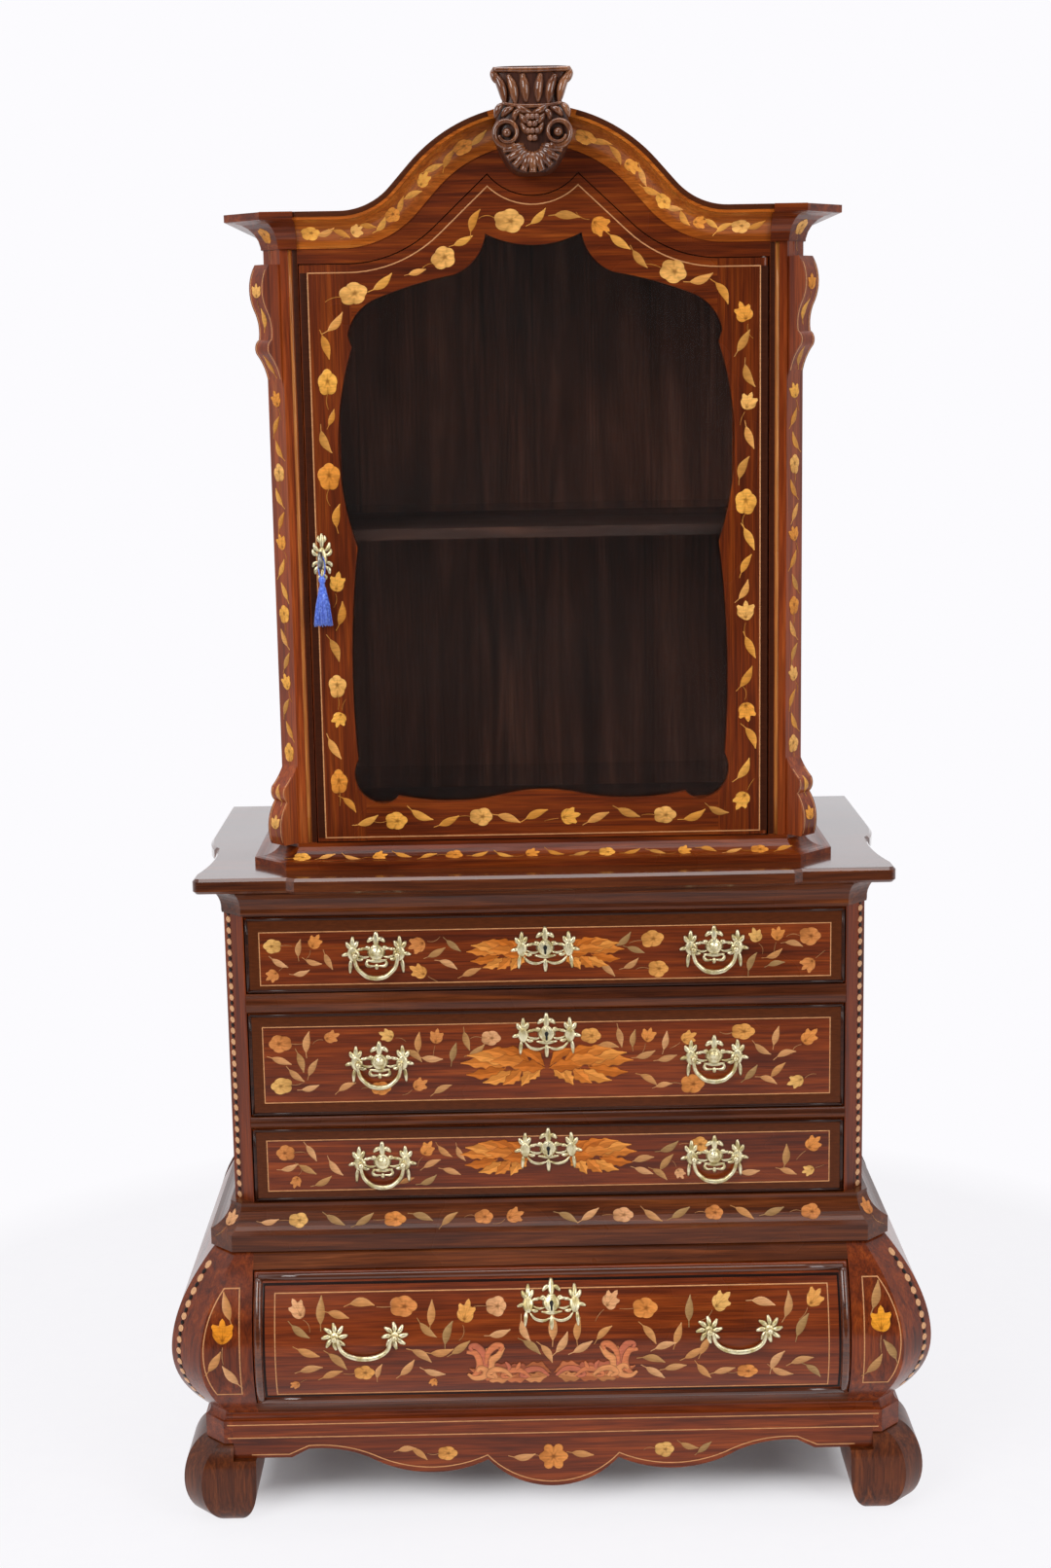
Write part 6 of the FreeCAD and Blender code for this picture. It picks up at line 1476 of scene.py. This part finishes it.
# %% Floor
FLOOR_HALF = 2.4
WHITE = (*linear("#fcfbfe"), 1)
floor_mesh = bpy.data.meshes.new("floor")
floor_corners = [(x * FLOOR_HALF, y * FLOOR_HALF, 0) for x, y in ((-1, -1), (1, -1), (1, 1), (-1, 1))]
floor_mesh.from_pydata(floor_corners, [], [(0, 1, 2, 3)])
floor = bpy.data.objects.new("floor", floor_mesh)
bpy.context.scene.collection.objects.link(floor)
floor_paint, tree, shader, place = new_finish("floor_paint_and_glow")
aside = add(tree, "SeparateXYZ", {0: add(tree, "VectorMath", {0: place}, operation="ABSOLUTE").outputs[0]})
length = add(tree, "VectorMath", {0: place}, operation="LENGTH")
far = add(tree, "MapRange", {"Value": length.outputs["Value"], "From Min": 0.3, "From Max": 1.5})
fade = far.outputs[0]
# Just beyond the middle of the chest the glow share rises to 0.84: painted light over the shadow there.
for axis, near, away in (("X", 0.40, 0.52), ("Y", 0.11, 0.24)):
    edge = add(tree, "MapRange", {"Value": aside.outputs[axis], "From Min": near, "From Max": away,
                                  "To Min": 0.04, "To Max": 0.84}, interpolation_type="SMOOTHSTEP")
    fade = add(tree, "Math", {0: edge.outputs[0], 1: fade}, operation="MAXIMUM").outputs[0]
speck = add(tree, "TexNoise", {"Vector": place, "Scale": 30.0})
paint = add(tree, "ValToRGB", {"Fac": speck.outputs["Fac"]}, stops=[(0.3, "#f4f4f8"), (0.7, "#fafafc")])
feed(shader, {"Base Color": paint.outputs["Color"], "Roughness": 0.7})
glow = add(tree, "Emission", {"Color": WHITE, "Strength": 1.0})
mixed = add(tree, "MixShader", {0: fade, 1: shader.outputs[0], 2: glow.outputs[0]})
feed(tree.nodes["Material Output"], {"Surface": mixed.outputs[0]})
floor_mesh.materials.append(floor_paint)
print("floor:", 2 * FLOOR_HALF, "m square")

# %% [markdown]
# ## Light
# Three large soft lamps light the piece from the left, from the right and from above, as in a studio.
# The ground is white to the camera and through the glass. Polish and brass mirror it too, but dark on
# the viewer's side, as a studio is behind the camera. As a lamp it has less than half its strength.


# %% Lamps and white ground
def softbox(name, where, aim, size, power):
    """A large soft lamp that looks at a point."""
    lamp = bpy.data.lights.new(name, "AREA")
    lamp.shape = "RECTANGLE"
    lamp.size, lamp.size_y = size
    lamp.energy = power
    stand = bpy.data.objects.new(name, lamp)
    bpy.context.scene.collection.objects.link(stand)
    stand.location = where
    toward = np.subtract(aim, where)
    tilt = math.acos(-toward[2] / np.linalg.norm(toward))
    stand.rotation_euler = (tilt, 0, math.atan2(toward[1], toward[0]) - math.pi / 2)
    stand.visible_camera = False


softbox("key_softbox", (-2.4, -3.4, 3.0), (0, 0, 1.0), (2.2, 2.2), 110)
softbox("fill_softbox", (2.8, -3.0, 2.0), (0, 0, 0.9), (2.0, 2.4), 60)
softbox("top_softbox", (0, -0.6, 4.2), (0, 0, 1.0), (2.6, 2.0), 50)
world = bpy.data.worlds.new("white_ground")
world.use_nodes = True
bpy.context.scene.world = world
tree = world.node_tree
light_path = add(tree, "LightPath").outputs
direct = add(tree, "Math", {0: light_path["Is Camera Ray"], 1: light_path["Is Transmission Ray"]},
             operation="MAXIMUM")
seen = add(tree, "Math", {0: direct.outputs[0], 1: light_path["Is Glossy Ray"]}, operation="MAXIMUM")
level = add(tree, "MapRange", {"Value": seen.outputs[0], "To Min": 0.45, "To Max": 1.0})
toward = add(tree, "SeparateXYZ", {0: add(tree, "TexCoord").outputs["Generated"]})
room = add(tree, "MapRange", {"Value": toward.outputs["Y"], "From Min": -0.85, "From Max": 0.1,
                              "To Min": 0.1, "To Max": 1.0}, interpolation_type="SMOOTHSTEP")
kept = add(tree, "Math", {0: room.outputs[0], 1: direct.outputs[0]}, operation="MAXIMUM")
lit = add(tree, "Math", {0: level.outputs[0], 1: kept.outputs[0]}, operation="MULTIPLY")
feed(tree.nodes["Background"], {"Strength": lit.outputs[0], "Color": WHITE})
bpy.context.scene.view_settings.view_transform = "Standard"
print("lamps:", [lamp.name for lamp in bpy.data.lights])

# %% [markdown]
# ## Camera
# The camera looks from a little above the middle and slightly down, from about three metres away. Its
# lens was found by fitting the outline of the piece: the focal length is 2356 pixels in a picture 1612
# pixels tall, on a sensor whose long side is 36 mm.

# %% Camera
from mathutils import Matrix

SENSOR, FOCAL_PIXELS, TALL_PIXELS = 36, 2356.1, 1612
lens = bpy.data.cameras.new("catalogue_camera")
lens.sensor_width = SENSOR
lens.lens = SENSOR * FOCAL_PIXELS / TALL_PIXELS
camera = bpy.data.objects.new("catalogue_camera", lens)
bpy.context.scene.collection.objects.link(camera)
camera.location = (-0.0363, DRAWER_PLANE * MM - 3.1603, 1.6704)
pitch, roll, yaw = math.radians(90 - 10.514), math.radians(-0.984), math.radians(-0.224)
camera.rotation_euler = (Matrix.Rotation(yaw, 3, "Z") @ Matrix.Rotation(pitch, 3, "X")
                         @ Matrix.Rotation(roll, 3, "Z")).to_euler()
bpy.context.scene.camera = camera
print("camera at", [round(c, 3) for c in camera.location])
